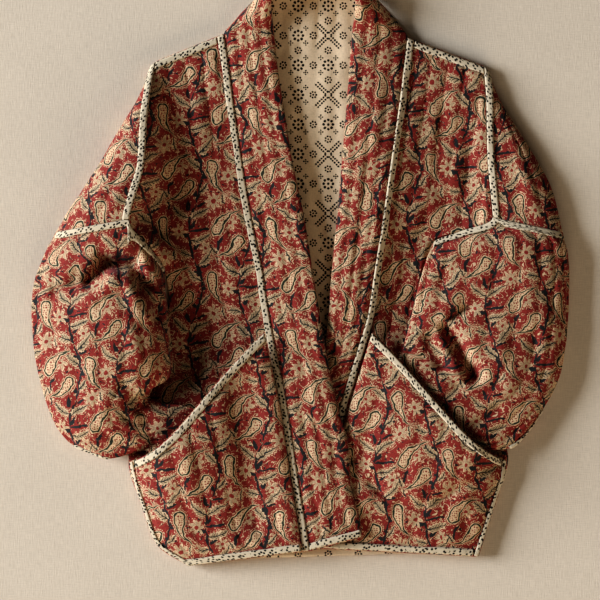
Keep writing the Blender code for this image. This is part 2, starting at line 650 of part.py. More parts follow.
def make_sleeve(side, shoulder, front, red):
    over = np.linspace(0.0, np.pi, TOP_COLUMNS + 1)
    under = np.linspace(np.pi, 2 * np.pi, UNDER_COLUMNS + 1)[1:-1]
    turn = np.concatenate([over, under])
    rings = sleeve_rings(side, sleeve_seam(side, shoulder, front), turn)
    reach = np.linalg.norm(rings[1] - rings[0], axis=1)
    bound = rings[0] + (rings[1] - rings[0]) * np.minimum(BINDING / reach, SLEEVE_BINDING_SHARE)[:, None]
    keys = np.arange(1.0, len(rings))
    between = np.unique(np.concatenate([keys, SLEEVE_HALF_ROWS]))
    listed = rings[1:].reshape(len(rings) - 1, -1)
    rest = through(keys, listed, between).reshape(len(between), len(turn), 3)
    grid = np.concatenate([rings[:1], bound[None], rest])
    rise = quilt_rise(grid.shape[:2], 0, TOP_COLUMNS)
    rise[1] = 0.0
    normals = (1 if side == "left" else -1) * normals_of(grid, True)
    normals[0] = edge_normals(grid[0], normals[0])
    across = unit((grid[:, TOP_COLUMNS] - grid[:, 0]) * np.array((1.0, 1.0, 0.0)))
    inward = across[:, None] * np.cos(turn)[:, None] - UP * np.sin(turn)[:, None]
    outer = add_wall(f"sleeve_{side}", grid, normals, rise, WALL * inward, red, ring=True)
    places = np.concatenate([[0.0, 0.5], between])
    return {"outer": outer, "normals": normals, "places": places}


def back_outline(fronts):
    """The back seen from above: the sides and armholes of the two fronts, the shoulders and the neck."""
    sides, necks = {}, {}
    for side, front in fronts.items():
        sides[side] = front["grid"][:, -1, :2].copy()
        sides[side][0, 1] += BACK_HEM_RISE
        necks[side] = front["grid"][-1:, 0, :2] - np.array((0.0, NECK_POINT_DROP))
    neck = np.array(BACK_NECK)
    return np.concatenate([sides["right"], necks["right"], neck, necks["left"], sides["left"][::-1]])


def inset_outline(outline, inset):
    """An outline drawn in towards its middle by about this much on every side."""
    before = np.roll(outline, 1, axis=0)
    after = np.roll(outline, -1, axis=0)
    run = unit(after - before)
    inward = np.stack([run[:, 1], -run[:, 0]], axis=1)
    return outline + inward * inset


def make_bindings(fronts, shoulders, sleeves, pockets, band, cream):
    for side in ("right", "left"):
        outer, normals = fronts[side]["outer"], fronts[side]["normals"]
        add_strip(f"band_binding_{side}", outer[:, 0], outer[:, 1], normals[:, 1], cream)
        add_strip(f"shoulder_binding_{side}", outer[-1, 1:], outer[-2, 1:], normals[-2, 1:], cream)

        outer, normals = shoulders[side]["outer"], shoulders[side]["normals"]
        add_strip(f"armhole_binding_{side}", outer[:, 0], outer[:, 1], normals[:, 1], cream)

        outer, normals = sleeves[side]["outer"], sleeves[side]["normals"]
        over = slice(2, TOP_COLUMNS - 1)
        add_strip(f"sleeve_binding_{side}", outer[0, over], outer[1, over], normals[1, over], cream)
        places = list(sleeves[side]["places"])
        first, last = (places.index(ring) for ring in UNDER_SEAM_RINGS[side])
        rings = slice(first, last + 1)
        seam, beside, up = outer[rings, 0], outer[rings, 1], normals[rings, 0]
        add_strip(f"under_seam_binding_{side}", seam, beside, up, cream, UNDER_SEAM_RISE)

        outer, normals = pockets[side]["outer"], pockets[side]["normals"]
        mouth = slice(0, -1)
        add_strip(f"pocket_binding_{side}", outer[-1, mouth], outer[-2, mouth], normals[-2, mouth], cream)
        add_strip(f"side_binding_{side}", outer[:, -1], outer[:, -2], normals[:, -2], cream)
        add_strip(f"hem_binding_{side}", outer[0, mouth], outer[1, mouth], normals[1, mouth], cream)
    outer, normals = band["outer"], band["normals"]
    run = outer[1] - outer[0]
    inner = outer[0] + run * BINDING / np.linalg.norm(run, axis=1, keepdims=True)
    add_strip("hem_binding_band", outer[0], inner, normals[1], cream)


def main():
    for old in list(bpy.data.objects):
        bpy.data.objects.remove(old, do_unlink=True)
    collection = bpy.data.collections.new(COLLECTION)
    bpy.context.scene.collection.children.link(collection)
    red = cloth("quilted_print", CLOTH_RED)
    cream = cloth("binding_print", CLOTH_CREAM)
    lining = cloth("lining_print", LINING_CREAM)

    fronts, shoulders, sleeves, pockets = {}, {}, {}, {}
    for side in ("right", "left"):
        fronts[side] = make_front(side, red)
        shoulders[side] = make_shoulder(side, fronts[side], red)
        sleeves[side] = make_sleeve(side, shoulders[side], fronts[side], red)
        pockets[side] = make_pocket(side, red)
    outline = back_outline(fronts)
    add_plate("back", outline, 0.0, BACK_WALL, red)
    inside = inset_outline(outline, LINING_INSET)
    add_plate("back_lining", inside, BACK_WALL + SEAM_GAP, LINING_WALL, lining)
    band = make_band(fronts, red)
    make_bindings(fronts, shoulders, sleeves, pockets, band, cream)


main()
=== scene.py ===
"""Quilted kimono jacket laid out flat: printed cloth, quilting, bindings, stitches and a stage.

Left and right are the wearer's, so the right side lies at -X. Lengths in the tables are millimetres,
and the meshes are in metres.
"""

from collections import namedtuple
from functools import lru_cache

import bpy
import numpy as np
from bpy.props import FloatProperty, FloatVectorProperty, PointerProperty
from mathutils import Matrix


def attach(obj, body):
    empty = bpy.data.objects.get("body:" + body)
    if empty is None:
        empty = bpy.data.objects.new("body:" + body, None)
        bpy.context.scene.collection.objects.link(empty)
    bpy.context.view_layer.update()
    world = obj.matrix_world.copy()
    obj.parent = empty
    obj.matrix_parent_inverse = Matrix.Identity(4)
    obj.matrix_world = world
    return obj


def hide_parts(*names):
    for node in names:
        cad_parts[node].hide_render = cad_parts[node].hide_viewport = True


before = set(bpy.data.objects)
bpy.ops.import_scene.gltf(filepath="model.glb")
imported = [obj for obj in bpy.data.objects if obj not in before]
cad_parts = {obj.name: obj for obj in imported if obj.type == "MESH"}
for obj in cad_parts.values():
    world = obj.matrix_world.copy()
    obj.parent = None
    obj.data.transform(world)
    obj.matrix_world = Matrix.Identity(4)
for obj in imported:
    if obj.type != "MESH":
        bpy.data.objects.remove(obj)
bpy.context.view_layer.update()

bl_info = {
    "name": "Quilted Kimono Jacket",
    "version": (1, 0, 0),
    "blender": (4, 5, 0),
    "location": "3D View > Sidebar > Jacket",
    "description": "Builds a quilted kimono jacket laid out flat, with block-printed cloth and bound seams",
    "category": "Object",
}

MM = 0.001
UP = np.array((0.0, 0.0, 1.0))
BODY = "root"
UV_NAME = "cloth"
SIDES = ("right", "left")
OUTWARD = {"right": -1.0, "left": 1.0}

# Cloth walls, seams and bindings, the round of a wall's rim, the share of its width that a binding covers,
# its gap over the cloth, and an under seam binding's share of the full rise.
WALL = 3.0
BAND_WALL = 4.0
BACK_WALL = 3.0
LINING_WALL = 1.0
SEAM_GAP = 0.3
RIM_ROUND = 0.35
BINDING = 10.0
SIDE_BINDING = 6.0
UNDER_SEAM_BINDING = 6.0
BINDING_SHOWN = 0.86
BINDING_GAP = 0.4
UNDER_SEAM_SHARE = 0.5

# A binding's points across its top and back along its base, how square its top is, how uneven its width and
# height are, and how many rows of cloth it may reach over.
BINDING_SHARES = np.linspace(0.0, 1.0, 9)
BINDING_BASE = np.array((0.8, 0.5, 0.2))
BINDING_ROUND = 7.0
BINDING_WIDE_PITCH = 19.0
BINDING_WIDE_SPREAD = 0.07
BINDING_HIGH_PITCH = 8.0
BINDING_HIGH_SPREAD = 0.16
REACH_ROWS = 26

# Quilting: channel widths and counts, the round and unevenness of a channel, the puckers at its lines, the
# ripples of the cloth, and how the quilting eases off at edges and turns.
CHANNEL = 22.0
BAND_CHANNELS = 4
POCKET_CHANNELS = 7
SLEEVE_CHANNELS = 10
SHOULDER_CHANNELS = 4
PUFF_ROUND = 0.6
FILL_PITCH = 45.0
FILL_STEP = 3.1
FILL_SPREAD = 0.3
PUCKER_REACH = 5.0
PUCKER_PITCH = 6.5
PUCKER_STEP = 5.3
PUCKER_SEED = 0.1
RIPPLE_PITCH = 34.0
RIPPLE_SEED = 0.2
FINE_RIPPLE = 0.45
FINE_ACROSS = 2.3
FINE_ALONG = 2.1
FINE_SEED = 0.3
EDGE_EASE = 7.0
TURN_EASE = 0.2

# Sleeves: how full they are, how they ride over the body's side, their columns over the top, and those of
# them under the seam's binding.
FULLNESS = {"right": 0.75, "left": 0.42}
RIDE_START = 24.0
RIDE_END = 7.0
UNDERARM_FREE = 15.0
UNDERARM_RAMP = 30.0
SLEEVE_TOP = 90
SLEEVE_BOUND = slice(9, 82)

# Shoulder panels: the round of the fold at their outer edge, and the columns below their binding.
SHOULDER_BINDING_SHARE = 0.45
SHOULDER_UNDER_START = 0.97
SHOULDER_ROUND = 2.4
SHOULDER_CROWN = 2.2
SHOULDER_CROWN_LEAN = 0.45
FULL_WIDTH = 90.0
BOUND_COLUMNS = 4

# How far the middle of a pocket's mouth sags below a straight line, and how far out it sags most.
MOUTH_SAG = {"right": 17.0, "left": 14.5}
SAG_SKEW = 2.0

# The back: its mesh steps, its hem's first width, and where the lining shows between the bands.
BACK_STEP = 1.7
HEM_CORNER = 1.0
LINING_MIDDLE = 20.0
LINING_SHOWS = 90.0
LINING_RAMP = 40.0
LINING_LOW = -80.0

# Rows of each front's edge, and their spacing, that lead the band into its turn about the neck.
LEAD_ROWS = 3
LEAD_STEP = 8

# Samples along a table for measuring its length.
DENSE = 600

# Numbers that scatter the soft noise, and the step from one piece's place on a print to the next one's.
NOISE_TURNS = (127.1, 311.7, 74.7)
NOISE_SCATTER = 43758.5453
PRINT_SHIFT = np.array((37.7, 61.3))

Front = namedtuple("Front", "seam_x seam_y side_x side_y seam_z mid_z low_z side_z edge_x edge_y edge_z")
Pocket = namedtuple("Pocket", "inner_x inner_y side_x side_y inner_z mid_z low_z side_z")
Shoulder = namedtuple("Shoulder", "outer_x outer_y crown_z outer_z")
Sleeve = namedtuple(
    "Sleeve", "outer_x outer_y crown_x crown_y inner_x inner_y outer_z crown_z inner_z ride_z"
)
Neck = namedtuple("Neck", "seam_x seam_y seam_z edge_x edge_y edge_z arch")
Fold = namedtuple("Fold", "x0 y0 x1 y1 width depth")
Point = namedtuple("Point", "x y")

# Columns of a front's or a pocket's table.
SEAM_XY = slice(0, 2)
SIDE_XY = slice(2, 4)
SECTION_Z = slice(4, 8)
BAND_EDGE = slice(8, 11)

# A front from hem to shoulder: its band seam, its side edge, its heights from seam to side, and the
# band's free edge beside it.
FRONT_RIGHT = (
    Front(12, -354, -140, -374, 23.0, 17.0, 10.0, 8.0, 76, -337, 25.0),
    Front(9, -333, -177, -349, 23.5, 16.5, 10.0, 8.0, 73, -315, 26.0),
    Front(1, -286, -198, -296, 24.0, 15.0, 9.5, 8.0, 62, -272, 27.0),
    Front(-7, -235, -213, -243, 24.0, 11.5, 9.5, 8.0, 59, -225, 28.0),
    Front(-18, -165, -201, -165, 24.0, 11.0, 9.5, 8.0, 43, -165, 29.0),
    Front(-33, -90, -172, -90, 18.0, 10.5, 9.5, 8.0, 27, -85, 28.0),
    Front(-41, -45, -163, -42, 16.0, 10.5, 9.5, 8.0, 20, -40, 26.0),
    Front(-47, -5, -168.5, -7, 15.0, 11.0, 10.5, 10.0, 13.5, 0, 25.0),
    Front(-54, 27, -191, 28, 14.5, 11.5, 13.0, 42.0, 8.8, 30, 24.5),
    Front(-60, 57, -211, 58, 14.0, 12.0, 16.0, 57.0, 4, 60, 24.0),
    Front(-72, 127, -193, 127, 13.5, 12.5, 16.0, 50.0, -10, 127, 22.5),
    Front(-82, 195, -189, 190, 12.5, 12.0, 14.5, 36.0, -21, 195, 20.0),
    Front(-89, 250, -183, 236, 11.5, 11.0, 11.5, 18.0, -29, 247, 18.0),
    Front(-95, 289, -179, 255, 11.0, 10.5, 10.0, 9.5, -34, 295, 18.0),
)
FRONT_LEFT = (
    Front(6, -351, 222, -362, 9.5, 10.0, 9.5, 8.0, -53, -351, 8.5),
    Front(13, -320, 235, -322, 9.5, 10.5, 9.5, 8.0, -46, -320, 8.5),
    Front(23, -275, 250, -276, 10.0, 10.5, 9.5, 8.0, -37, -275, 9.0),
    Front(34, -236, 259, -239, 11.5, 10.5, 9.5, 8.0, -25, -236, 9.5),
    Front(51, -171, 228, -172, 16.0, 10.5, 9.5, 8.0, 0, -172, 11.0),
    Front(72, -104, 180, -100, 20.0, 11.0, 9.5, 8.0, 31, -106, 15.0),
    Front(85, -59, 150, -48, 22.0, 11.5, 9.5, 8.0, 36, -59, 19.0),
    Front(92, -12, 155, -15, 23.0, 12.0, 10.0, 8.0, 40, -12, 21.0),
    Front(98, 26, 165, 28, 24.0, 12.5, 10.5, 9.0, 43.5, 26, 21.0),
    Front(101, 42, 200, 43.5, 25.0, 11.5, 10.5, 14.0, 45, 42, 21.0),
    Front(103, 58, 240, 61, 25.5, 11.5, 11.5, 20.0, 47, 58, 21.0),
    Front(115, 142, 233, 142, 25.0, 11.5, 12.0, 18.0, 54, 142, 21.0),
    Front(125, 212, 232, 207, 20.5, 11.5, 11.5, 14.0, 60, 212, 20.0),
    Front(134, 284, 229, 249, 11.0, 10.5, 10.0, 9.5, 66, 290, 18.0),
)
# Rows of those tables that bound the underarm seam, and the armhole from there to the shoulder.
UNDERARM_ROW = {"right": 7, "left": 8}
ARMHOLE_ROW = {"right": 9, "left": 10}
FRONTS = {"right": FRONT_RIGHT, "left": FRONT_LEFT}
# Shares of the way from seam to side at which a section's four heights stand.
ACROSS = (0.0, 0.45, 0.8, 1.0)

# Troughs (negative) and ridges in the two fronts.
FRONT_FOLDS = {
    "right": (
        Fold(-176, 232, -168, 150, 8, -1.5),
        Fold(-168, 150, -168, 20, 9, -1.5),
        Fold(-120, 120, -105, -60, 16, -2.0),
    ),
    "left": (
        Fold(138, 225, 118, 20, 13, -3.0),
        Fold(195, 210, 190, 110, 18, 3.0),
    ),
}

# The band where it turns about the neck, from the right shoulder to the left one.
NECK = (
    Neck(-85, 303, 8.0, -36, 312, 28.0, 5.0),
    Neck(-61, 325, 6.0, -37, 332, 42.0, 7.0),
    Neck(-28, 346, 5.5, -26, 354, 50.0, 6.0),
    Neck(20, 354, 5.5, 19, 373.2, 53.0, 4.0),
    Neck(69, 346, 5.5, 61, 354, 50.0, 6.0),
    Neck(102, 325, 6.0, 70, 332, 42.0, 7.0),
    Neck(123, 303, 8.0, 69, 312, 28.0, 5.0),
)
LEG_ARCH = 2.0

# A pocket from hem to mouth: its edge beside the band's binding, its side edge and its heights between.
POCKETS = {
    "right": (
        Pocket(0.5, -355, -140, -374, 27.4, 22.8, 17.0, 12.0),
        Pocket(-4, -318, -180, -345, 27.8, 26.5, 22.5, 12.0),
        Pocket(-13, -262, -196, -302, 28.4, 32.0, 29.0, 12.0),
        Pocket(-25, -180, -206, -272, 30.4, 38.0, 36.0, 13.5),
        Pocket(-45, -84, -212.5, -245, 31.6, 39.0, 39.0, 19.0),
    ),
    "left": (
        Pocket(17.5, -351, 222, -362, 14.2, 15.0, 14.5, 12.0),
        Pocket(25, -318, 236, -320, 14.6, 19.0, 19.5, 12.0),
        Pocket(37, -272, 247, -285, 16.0, 27.0, 26.0, 12.0),
        Pocket(60, -185, 255, -262, 22.0, 35.0, 35.0, 13.5),
        Pocket(90, -84, 257, -243, 28.0, 38.0, 38.0, 14.5),
    ),
}
POCKET_FOLDS = {
    "right": (Fold(-74, -150, -66, -255, 14, -3.5), Fold(-165, -260, -120, -330, 18, -2.5)),
    "left": (Fold(88, -268, 108, -292, 9, -2.5), Fold(238, -246, 175, -292, 14, -3.0)),
}

# The dropped shoulder panel beside the armhole, from the shoulder down to the sleeve seam.
SHOULDERS = {
    "right": (
        Shoulder(-187, 246, 12.0, 5.0),
        Shoulder(-202, 210, 28.0, 7.0),
        Shoulder(-226, 169, 42.0, 8.0),
        Shoulder(-250, 127, 50.0, 9.0),
        Shoulder(-274, 90, 55.0, 10.0),
        Shoulder(-305, 42, 57.0, 11.0),
    ),
    "left": (
        Shoulder(236, 240, 10.0, 5.0),
        Shoulder(250, 206, 15.0, 7.0),
        Shoulder(272, 170, 18.5, 8.0),
        Shoulder(296, 131, 22.0, 9.0),
        Shoulder(315, 94, 25.0, 10.0),
        Shoulder(328, 42, 27.0, 11.0),
    ),
}

# A sleeve from below its seam round the elbow and into the pocket.
SLEEVES = {
    "right": (
        Sleeve(-320, 10, -224, 24, -168, -28, 12, 54, 16, 13),
        Sleeve(-331, -20, -222, -12, -165, -51, 13, 56, 17, 13),
        Sleeve(-335, -55, -220, -55, -163, -76, 14, 57, 18, 13),
        Sleeve(-333, -92, -218, -95, -160, -100, 14, 57, 18, 13),
        Sleeve(-327, -130, -217, -130, -159, -122, 14, 55, 18, 13),
        Sleeve(-317, -168, -226, -155, -164, -140, 13, 51, 18, 13),
        Sleeve(-302, -202, -236, -180, -184, -151, 13, 46, 18, 13),
        Sleeve(-285, -221, -231, -196, -188, -163, 13, 42, 18, 14),
        Sleeve(-262, -232, -217, -205, -171, -172, 15, 38, 19, 14),
        Sleeve(-238, -239, -195, -210, -149, -174, 18, 34, 19, 14),
        Sleeve(-196, -229, -163, -209, -130, -180, 18, 28, 19, 14),
        Sleeve(-183, -240, -149, -221, -115, -194, 18, 26, 19, 14),
        Sleeve(-172, -260, -136, -236, -100, -210, 18, 26, 19, 14),
    ),
    "left": (
        Sleeve(333, 14, 274, 28, 157, 6, 11, 28, 16, 13),
        Sleeve(334.2, -18, 274, -5, 150, -16, 11, 29, 17, 13),
        Sleeve(333.5, -55, 270, -45, 144, -40, 11, 30, 18, 13),
        Sleeve(331, -92, 266, -85, 139, -62, 11, 31, 18, 13),
        Sleeve(326, -126, 260, -115, 134, -82, 11, 31, 18, 13),
        Sleeve(317, -152, 250, -135, 130, -96, 11, 31, 18, 13),
        Sleeve(303, -178, 236, -155, 128, -106, 12, 31, 18, 14),
        Sleeve(286, -203, 218, -170, 127, -115, 14, 30, 19, 14),
        Sleeve(262, -226, 196, -182, 126, -123, 18, 29, 19, 14),
        Sleeve(238, -228, 176, -190, 122, -134, 18, 28, 19, 14),
        Sleeve(218, -236, 160, -202, 114, -148, 18, 27, 19, 14),
        Sleeve(198, -250, 146, -217, 104, -163, 18, 26, 19, 14),
    ),
}
SLEEVE_FOLDS = {
    "right": (
        Fold(-282, -22, -240, 6, 12, -11.0),
        Fold(-240, 6, -200, -8, 12, -11.0),
        Fold(-200, -8, -172, -60, 11, -7.0),
        Fold(-300, -120, -230, -60, 22, 3.0),
        Fold(-215, -150, -190, -195, 10, -6.0),
    ),
    "left": (
        Fold(182, -82, 206, -116, 9, -8.0),
        Fold(206, -116, 216, -140, 9, -7.0),
        Fold(196, -60, 220, -45, 10, -4.0),
        Fold(270, 20, 300, -60, 22, 3.0),
    ),
}
# Rings of the sleeve, counted from its seam, between which its under seam shows at the outline.
UNDER_SEAM_RINGS = {"right": (8, 10), "left": (7, 9)}

# Back neckline between the two shoulder seams, and the back's hem.
BACK_NECK = (Point(-85, 301), Point(-61, 323), Point(-28, 344), Point(20, 352))
BACK_NECK += (Point(69, 344), Point(102, 323), Point(123, 301))
BACK_HEM_RISE = 6.0
NECK_POINT_DROP = 4.0
LINING_INSET = 4.0

# Further creases, which the solids leave out.
FRONT_CREASES = {
    "right": (
        Fold(-172, 215, -166, 40, 5, -3.5),
        Fold(-166, 40, -160, -70, 6, -2.0),
        Fold(-128, 205, -120, 120, 9, 1.6),
        Fold(-96, 170, -84, 40, 8, -1.6),
        Fold(-140, 60, -118, -40, 12, 2.0),
        Fold(-70, 20, -55, -60, 8, -1.5),
    ),
    "left": (
        Fold(140, 235, 122, 110, 8, -3.5),
        Fold(122, 110, 108, -20, 9, -4.0),
        Fold(170, 190, 160, 80, 10, 2.5),
        Fold(205, 190, 212, 90, 9, -1.8),
        Fold(150, 40, 128, -20, 8, -2.0),
    ),
}
SHOULDER_CREASES = {
    "right": (Fold(-205, 150, -240, 84, 9, -1.6), Fold(-228, 112, -268, 62, 8, 1.5)),
    "left": (Fold(248, 160, 268, 80, 9, -1.8), Fold(284, 112, 300, 60, 9, 1.5)),
}
SLEEVE_CREASES = {
    "right": (
        Fold(-300, -30, -262, -20, 9, -14.0),
        Fold(-262, -20, -240, 2, 11, -25.0),
        Fold(-240, 2, -210, 2, 11, -27.0),
        Fold(-210, 2, -190, -26, 10, -21.0),
        Fold(-190, -26, -176, -62, 8, -13.0),
        Fold(-256, -42, -234, -18, 10, 5.0),
        Fold(-234, -18, -210, -22, 10, 6.0),
        Fold(-210, -22, -190, -60, 12, 6.0),
        Fold(-318, -70, -298, -112, 9, -2.0),
        Fold(-288, -148, -262, -192, 8, -2.4),
        Fold(-222, -58, -200, -112, 11, 2.6),
        Fold(-262, -128, -240, -174, 9, 2.0),
        Fold(-216, -190, -182, -214, 6, -2.6),
        Fold(-250, -206, -214, -226, 6, -2.0),
    ),
    "left": (
        Fold(190, -64, 210, -53, 6, -10.0),
        Fold(182, -78, 196, -99, 8, -17.0),
        Fold(196, -99, 217, -138, 9, -18.0),
        Fold(160, -90, 176, -124, 9, -8.0),
        Fold(290, -90, 302, -142, 9, -2.0),
        Fold(250, -96, 262, -150, 10, 2.2),
        Fold(166, -112, 198, -152, 7, -2.4),
        Fold(244, -178, 216, -202, 7, -2.4),
        Fold(178, -24, 204, 10, 9, -2.2),
    ),
}
POCKET_CREASES = {
    "right": (
        Fold(-142, -230, -130, -322, 10, 1.5),
        Fold(-72, -158, -60, -312, 24, -8.5),
        Fold(-40, -196, -33, -300, 8, -1.6),
        Fold(-100, -270, -88, -340, 9, -1.3),
    ),
    "left": (
        Fold(58, -205, 64, -242, 5, -4.0),
        Fold(88, -270, 108, -290, 6, -5.0),
        Fold(246, -244, 176, -292, 8, -5.0),
        Fold(76, -214, 82, -256, 5, -1.8),
        Fold(107, -290, 152, -302, 8, -2.0),
        Fold(140, -208, 150, -332, 11, 1.5),
        Fold(200, -300, 214, -342, 8, -1.5),
    ),
}
BAND_CREASES = (
    Fold(-46, 70, -36, -20, 6, -1.4),
    Fold(0, -120, 8, -214, 6, -1.5),
    Fold(42, -236, 46, -306, 7, -1.6),
    Fold(88, 130, 74, 20, 6, -1.4),
    Fold(96, 240, 92, 160, 7, 1.4),
)

# Seeds for the unevenness of each piece and for its place on the print: the bindings' first, and the panels'.
BINDING_SEED = 20
SEEDS = {
    "front_right": 1,
    "front_left": 2,
    "shoulder_panel_right": 3,
    "shoulder_panel_left": 4,
    "sleeve_right": 5,
    "sleeve_left": 6,
    "pocket_right": 7,
    "pocket_left": 8,
    "neck_band": 9,
    "back": 10,
    "back_lining": 11,
}

# Sockets of node groups, and those of a node that mixes two colours.
VALUE = "NodeSocketFloat"
VECTOR = "NodeSocketVector"
COLOUR = "NodeSocketColor"
MIX_FIRST = 6
MIX_SECOND = 7
MIX_RESULT = 2

# The block print's repeat, a half drop, and its motifs in millimetres and degrees within one repeat. A stroke
# runs from its foot to its tip and bends to one side, and one without a radius is a stem.
PRINT_WIDTH = 62.0
PRINT_HEIGHT = 140.0
STEM_RADIUS = 1.5
Stroke = namedtuple("Stroke", "x y angle length bend radius", defaults=(STEM_RADIUS,))
Flower = namedtuple("Flower", "x y radius petals")
PAISLEYS = (
    Stroke(58, 106, 68, 38, -25, 8.0),
    Stroke(52, 47, -94, 36, 24, 7.6),
    Stroke(24, 23, -118, 34, -22, 7.4),
)
LEAVES = (
    Stroke(34, 62, 24, 28, 13, 6.2),
    Stroke(24, 92, -4, 29, 13, 6.0),
    Stroke(25, 117, 58, 28, -14, 6.2),
    Stroke(39, 43, 158, 29, -14, 6.4),
    Stroke(28.5, 74, 182, 26, -12, 6.0),
    Stroke(25, 120, 168, 27, -14, 6.2),
    Stroke(36, 12, 28, 19, 8, 4.8),
    Stroke(60, 66, 94, 23, 9, 5.2),
    Stroke(14, 4, 60, 17, 8, 4.4),
    Stroke(6, 66, 120, 17, -8, 4.4),
)
FLOWERS = (
    Flower(73, 34, 10.0, 7),
    Flower(54, 2, 11.4, 8),
    Flower(12, 45, 9.6, 6),
    Flower(44, 83, 8.4, 6),
)
SPRIGS = (
    Stroke(33, 8, 120, 14, 5, 2.6),
    Stroke(36, 16, 20, 12, -4, 2.4),
    Stroke(39, 30, 60, 13, -5, 2.6),
    Stroke(39, 52, 150, 14, 5, 2.6),
    Stroke(37, 58, 40, 12, -4, 2.4),
    Stroke(30, 82, 66, 13, -5, 2.6),
    Stroke(24, 98, 158, 14, 5, 2.6),
    Stroke(23, 108, 30, 12, 4, 2.4),
    Stroke(25, 130, 130, 13, -5, 2.6),
    Stroke(58, 90, 30, 11, 4, 2.3),
    Stroke(62, 36, 130, 11, -4, 2.3),
)
STEMS = (
    Stroke(31, 0, 66, 35, 6),
    Stroke(39.5, 34.5, 94, 35.5, 6),
    Stroke(31, 69.5, 114, 35, -6),
    Stroke(22.5, 104, 86, 35.5, -6),
    Stroke(22.5, 104, 8, 30, -1),
    Stroke(39.5, 37, 28, 12, 3),
    Stroke(36.5, 21, 175, 11, 2),
    Stroke(31.5, -4, 15, 16, 2),
    Stroke(39.5, 33, -5, 26, 3),
    Stroke(60, 92, -100, 30, 6),
)

# How a stroke curls, where along it it is widest, and how it tapers.
Form = namedtuple("Form", "curl peak taper")
PAISLEY_FORM = Form(3.0, 0.0, 1.5)
LEAF_FORM = Form(2.0, 0.4, 2.6)
STEM_FORM = Form(1.8, 0.3, 4.0)

# Leaves: the teeth along their edge, their rib and their slanted veins. Flowers: their petals and heart.
TOOTH = 4.4
TOOTH_DEPTH = 1.5
RIB = 0.7
RIB_INSET = 0.6
VEIN_STEP = 3.4
VEIN_SLANT = 1.1
VEIN_INSET = 1.3
PETAL_ROUND = 1.3
PETAL_SHARE = 0.66
HEART_SHARE = 0.24

# How rough the edge of each kind of motif is.
EDGE_ROUGHNESS = {
    "stem": 0.35,
    "sprig": 0.6,
    "leaf": 0.7,
    "rib": 0.3,
    "vein": 0.4,
    "flower": 0.8,
    "heart": 0.5,
    "paisley": 0.3,
}

# Layers of the print in the order they are laid: a kind of motif, how far inside its edge the layer begins
# and how far it is full, its colour, and how strong it is.
Layer = namedtuple("Layer", "kind low high colour strength", defaults=(1.0,))
INK_EDGE = 0.18
CORE_TINT = 0.36
MOTIF_LAYERS = (
    Layer("stem", -INK_EDGE, INK_EDGE, "Ink"),
    Layer("sprig", -INK_EDGE, INK_EDGE, "Ink"),
    Layer("leaf", -INK_EDGE, INK_EDGE, "Petal"),
    Layer("leaf", 0.8, 2.2, "Leaf", CORE_TINT),
    Layer("vein", 0.45, 0.85, "Leaf"),
    Layer("rib", -INK_EDGE, INK_EDGE, "Ink"),
    Layer("flower", -INK_EDGE, INK_EDGE, "Petal"),
    Layer("flower", 0.8, 3.0, "Leaf", CORE_TINT),
    Layer("heart", -INK_EDGE, INK_EDGE, "Ground"),
    Layer("paisley", -2.9, -2.6, "Ground"),
)
PAISLEY_LAYERS = (
    Layer("paisley", -0.5, -0.1, "Petal"),
    Layer("paisley", 0.5, 0.8, "Leaf"),
    Layer("paisley", 2.5, 2.8, "Petal"),
)

# Halos of dashes about the motifs: the clear ground, and where the dashes begin and end.
HALO_CLEAR = (-2.9, -2.6)
HALO = (-2.4, -1.2)
PAISLEY_HALO = (-2.5, -1.3)
HALO_SOFT = 0.2

# Patches and specks: their number to a millimetre, and the noise at which they begin and are full.
Patch = namedtuple("Patch", "scale low high spread", defaults=(1.0,))
CURLS = Patch(0.13, 0.475, 0.525)
CURL_SOFT = 0.01
CURL_GROUPS = Patch(0.21, 0.47, 0.51)
DABS = Patch(0.23, 0.30, 0.27)
DASHES = Patch(0.55, 0.46, 0.36)
PAISLEY_DOTS = Patch(0.33, 0.34, 0.24, spread=0.4)
PAISLEY_CORE = (3.2, 3.6)
BINDING_DOTS = Patch(1 / 4.6, 0.36, 0.28, spread=0.7)
BINDING_CLUSTERS = Patch(1 / 9.0, 0.38, 0.42)

# The dotted print's repeat of rosettes, each with its number of dots, its radius and theirs, and a dotted
# cross at every second place of every second row, kept clear of the tiny rosettes.
ROSETTE_STEP = (37.5, 37.0)
BIG_ROSETTE = (8, 5.9, 1.75)
SMALL_ROSETTE = (7, 3.7, 1.3)
TINY_ROSETTE = (4, 2.3, 1.05)
MIDDLE_DOT = 0.9
CROSS_DOT_STEP = 3.3
CROSS_ROW = 1.9
CROSS_DOT = 1.35
CROSS_REACH = 22.0
CROSS_CLEAR = 24.0
DOT_EDGE = 0.15
DOT_ROUGHNESS = 0.5

# Hand printing: how the blocks shake, how rough their edges are, and how the colours fade in places.
NOISE_MIDDLE = (0.5, 0.5, 0.5)
Shake = namedtuple("Shake", "scale detail reach")
Rough = namedtuple("Rough", "scale detail spread")
Fade = namedtuple("Fade", "scale detail spread start")
BLOCK_SHAKE = Shake(0.09, 2.0, 8.0)
DOTTED_SHAKE = Shake(0.25, 1.0, 1.4)
BLOCK_ROUGH = Rough(0.75, 2.0, 2.4)
DOTTED_ROUGH = Rough(1.3, 2.0, 0.8)
BLOCK_FADE = Fade(0.5, 4.0, 1.1, 0.38)
DOTTED_FADE = Fade(0.4, 3.0, 0.3, 0.85)
PLAIN_FADE = Fade(9.0, 3.0, 0.08, 0.96)

# Cloth finishes: the uneven stretch of a thread, as its width over its length, and what all cloths share.
THREAD_STRETCH = 0.09
CLOTH_SPECULAR = 0.25
CLOTH_SHEEN_ROUGHNESS = 0.5
Look = namedtuple("Look", "place thread depth bump roughness sheen colour")

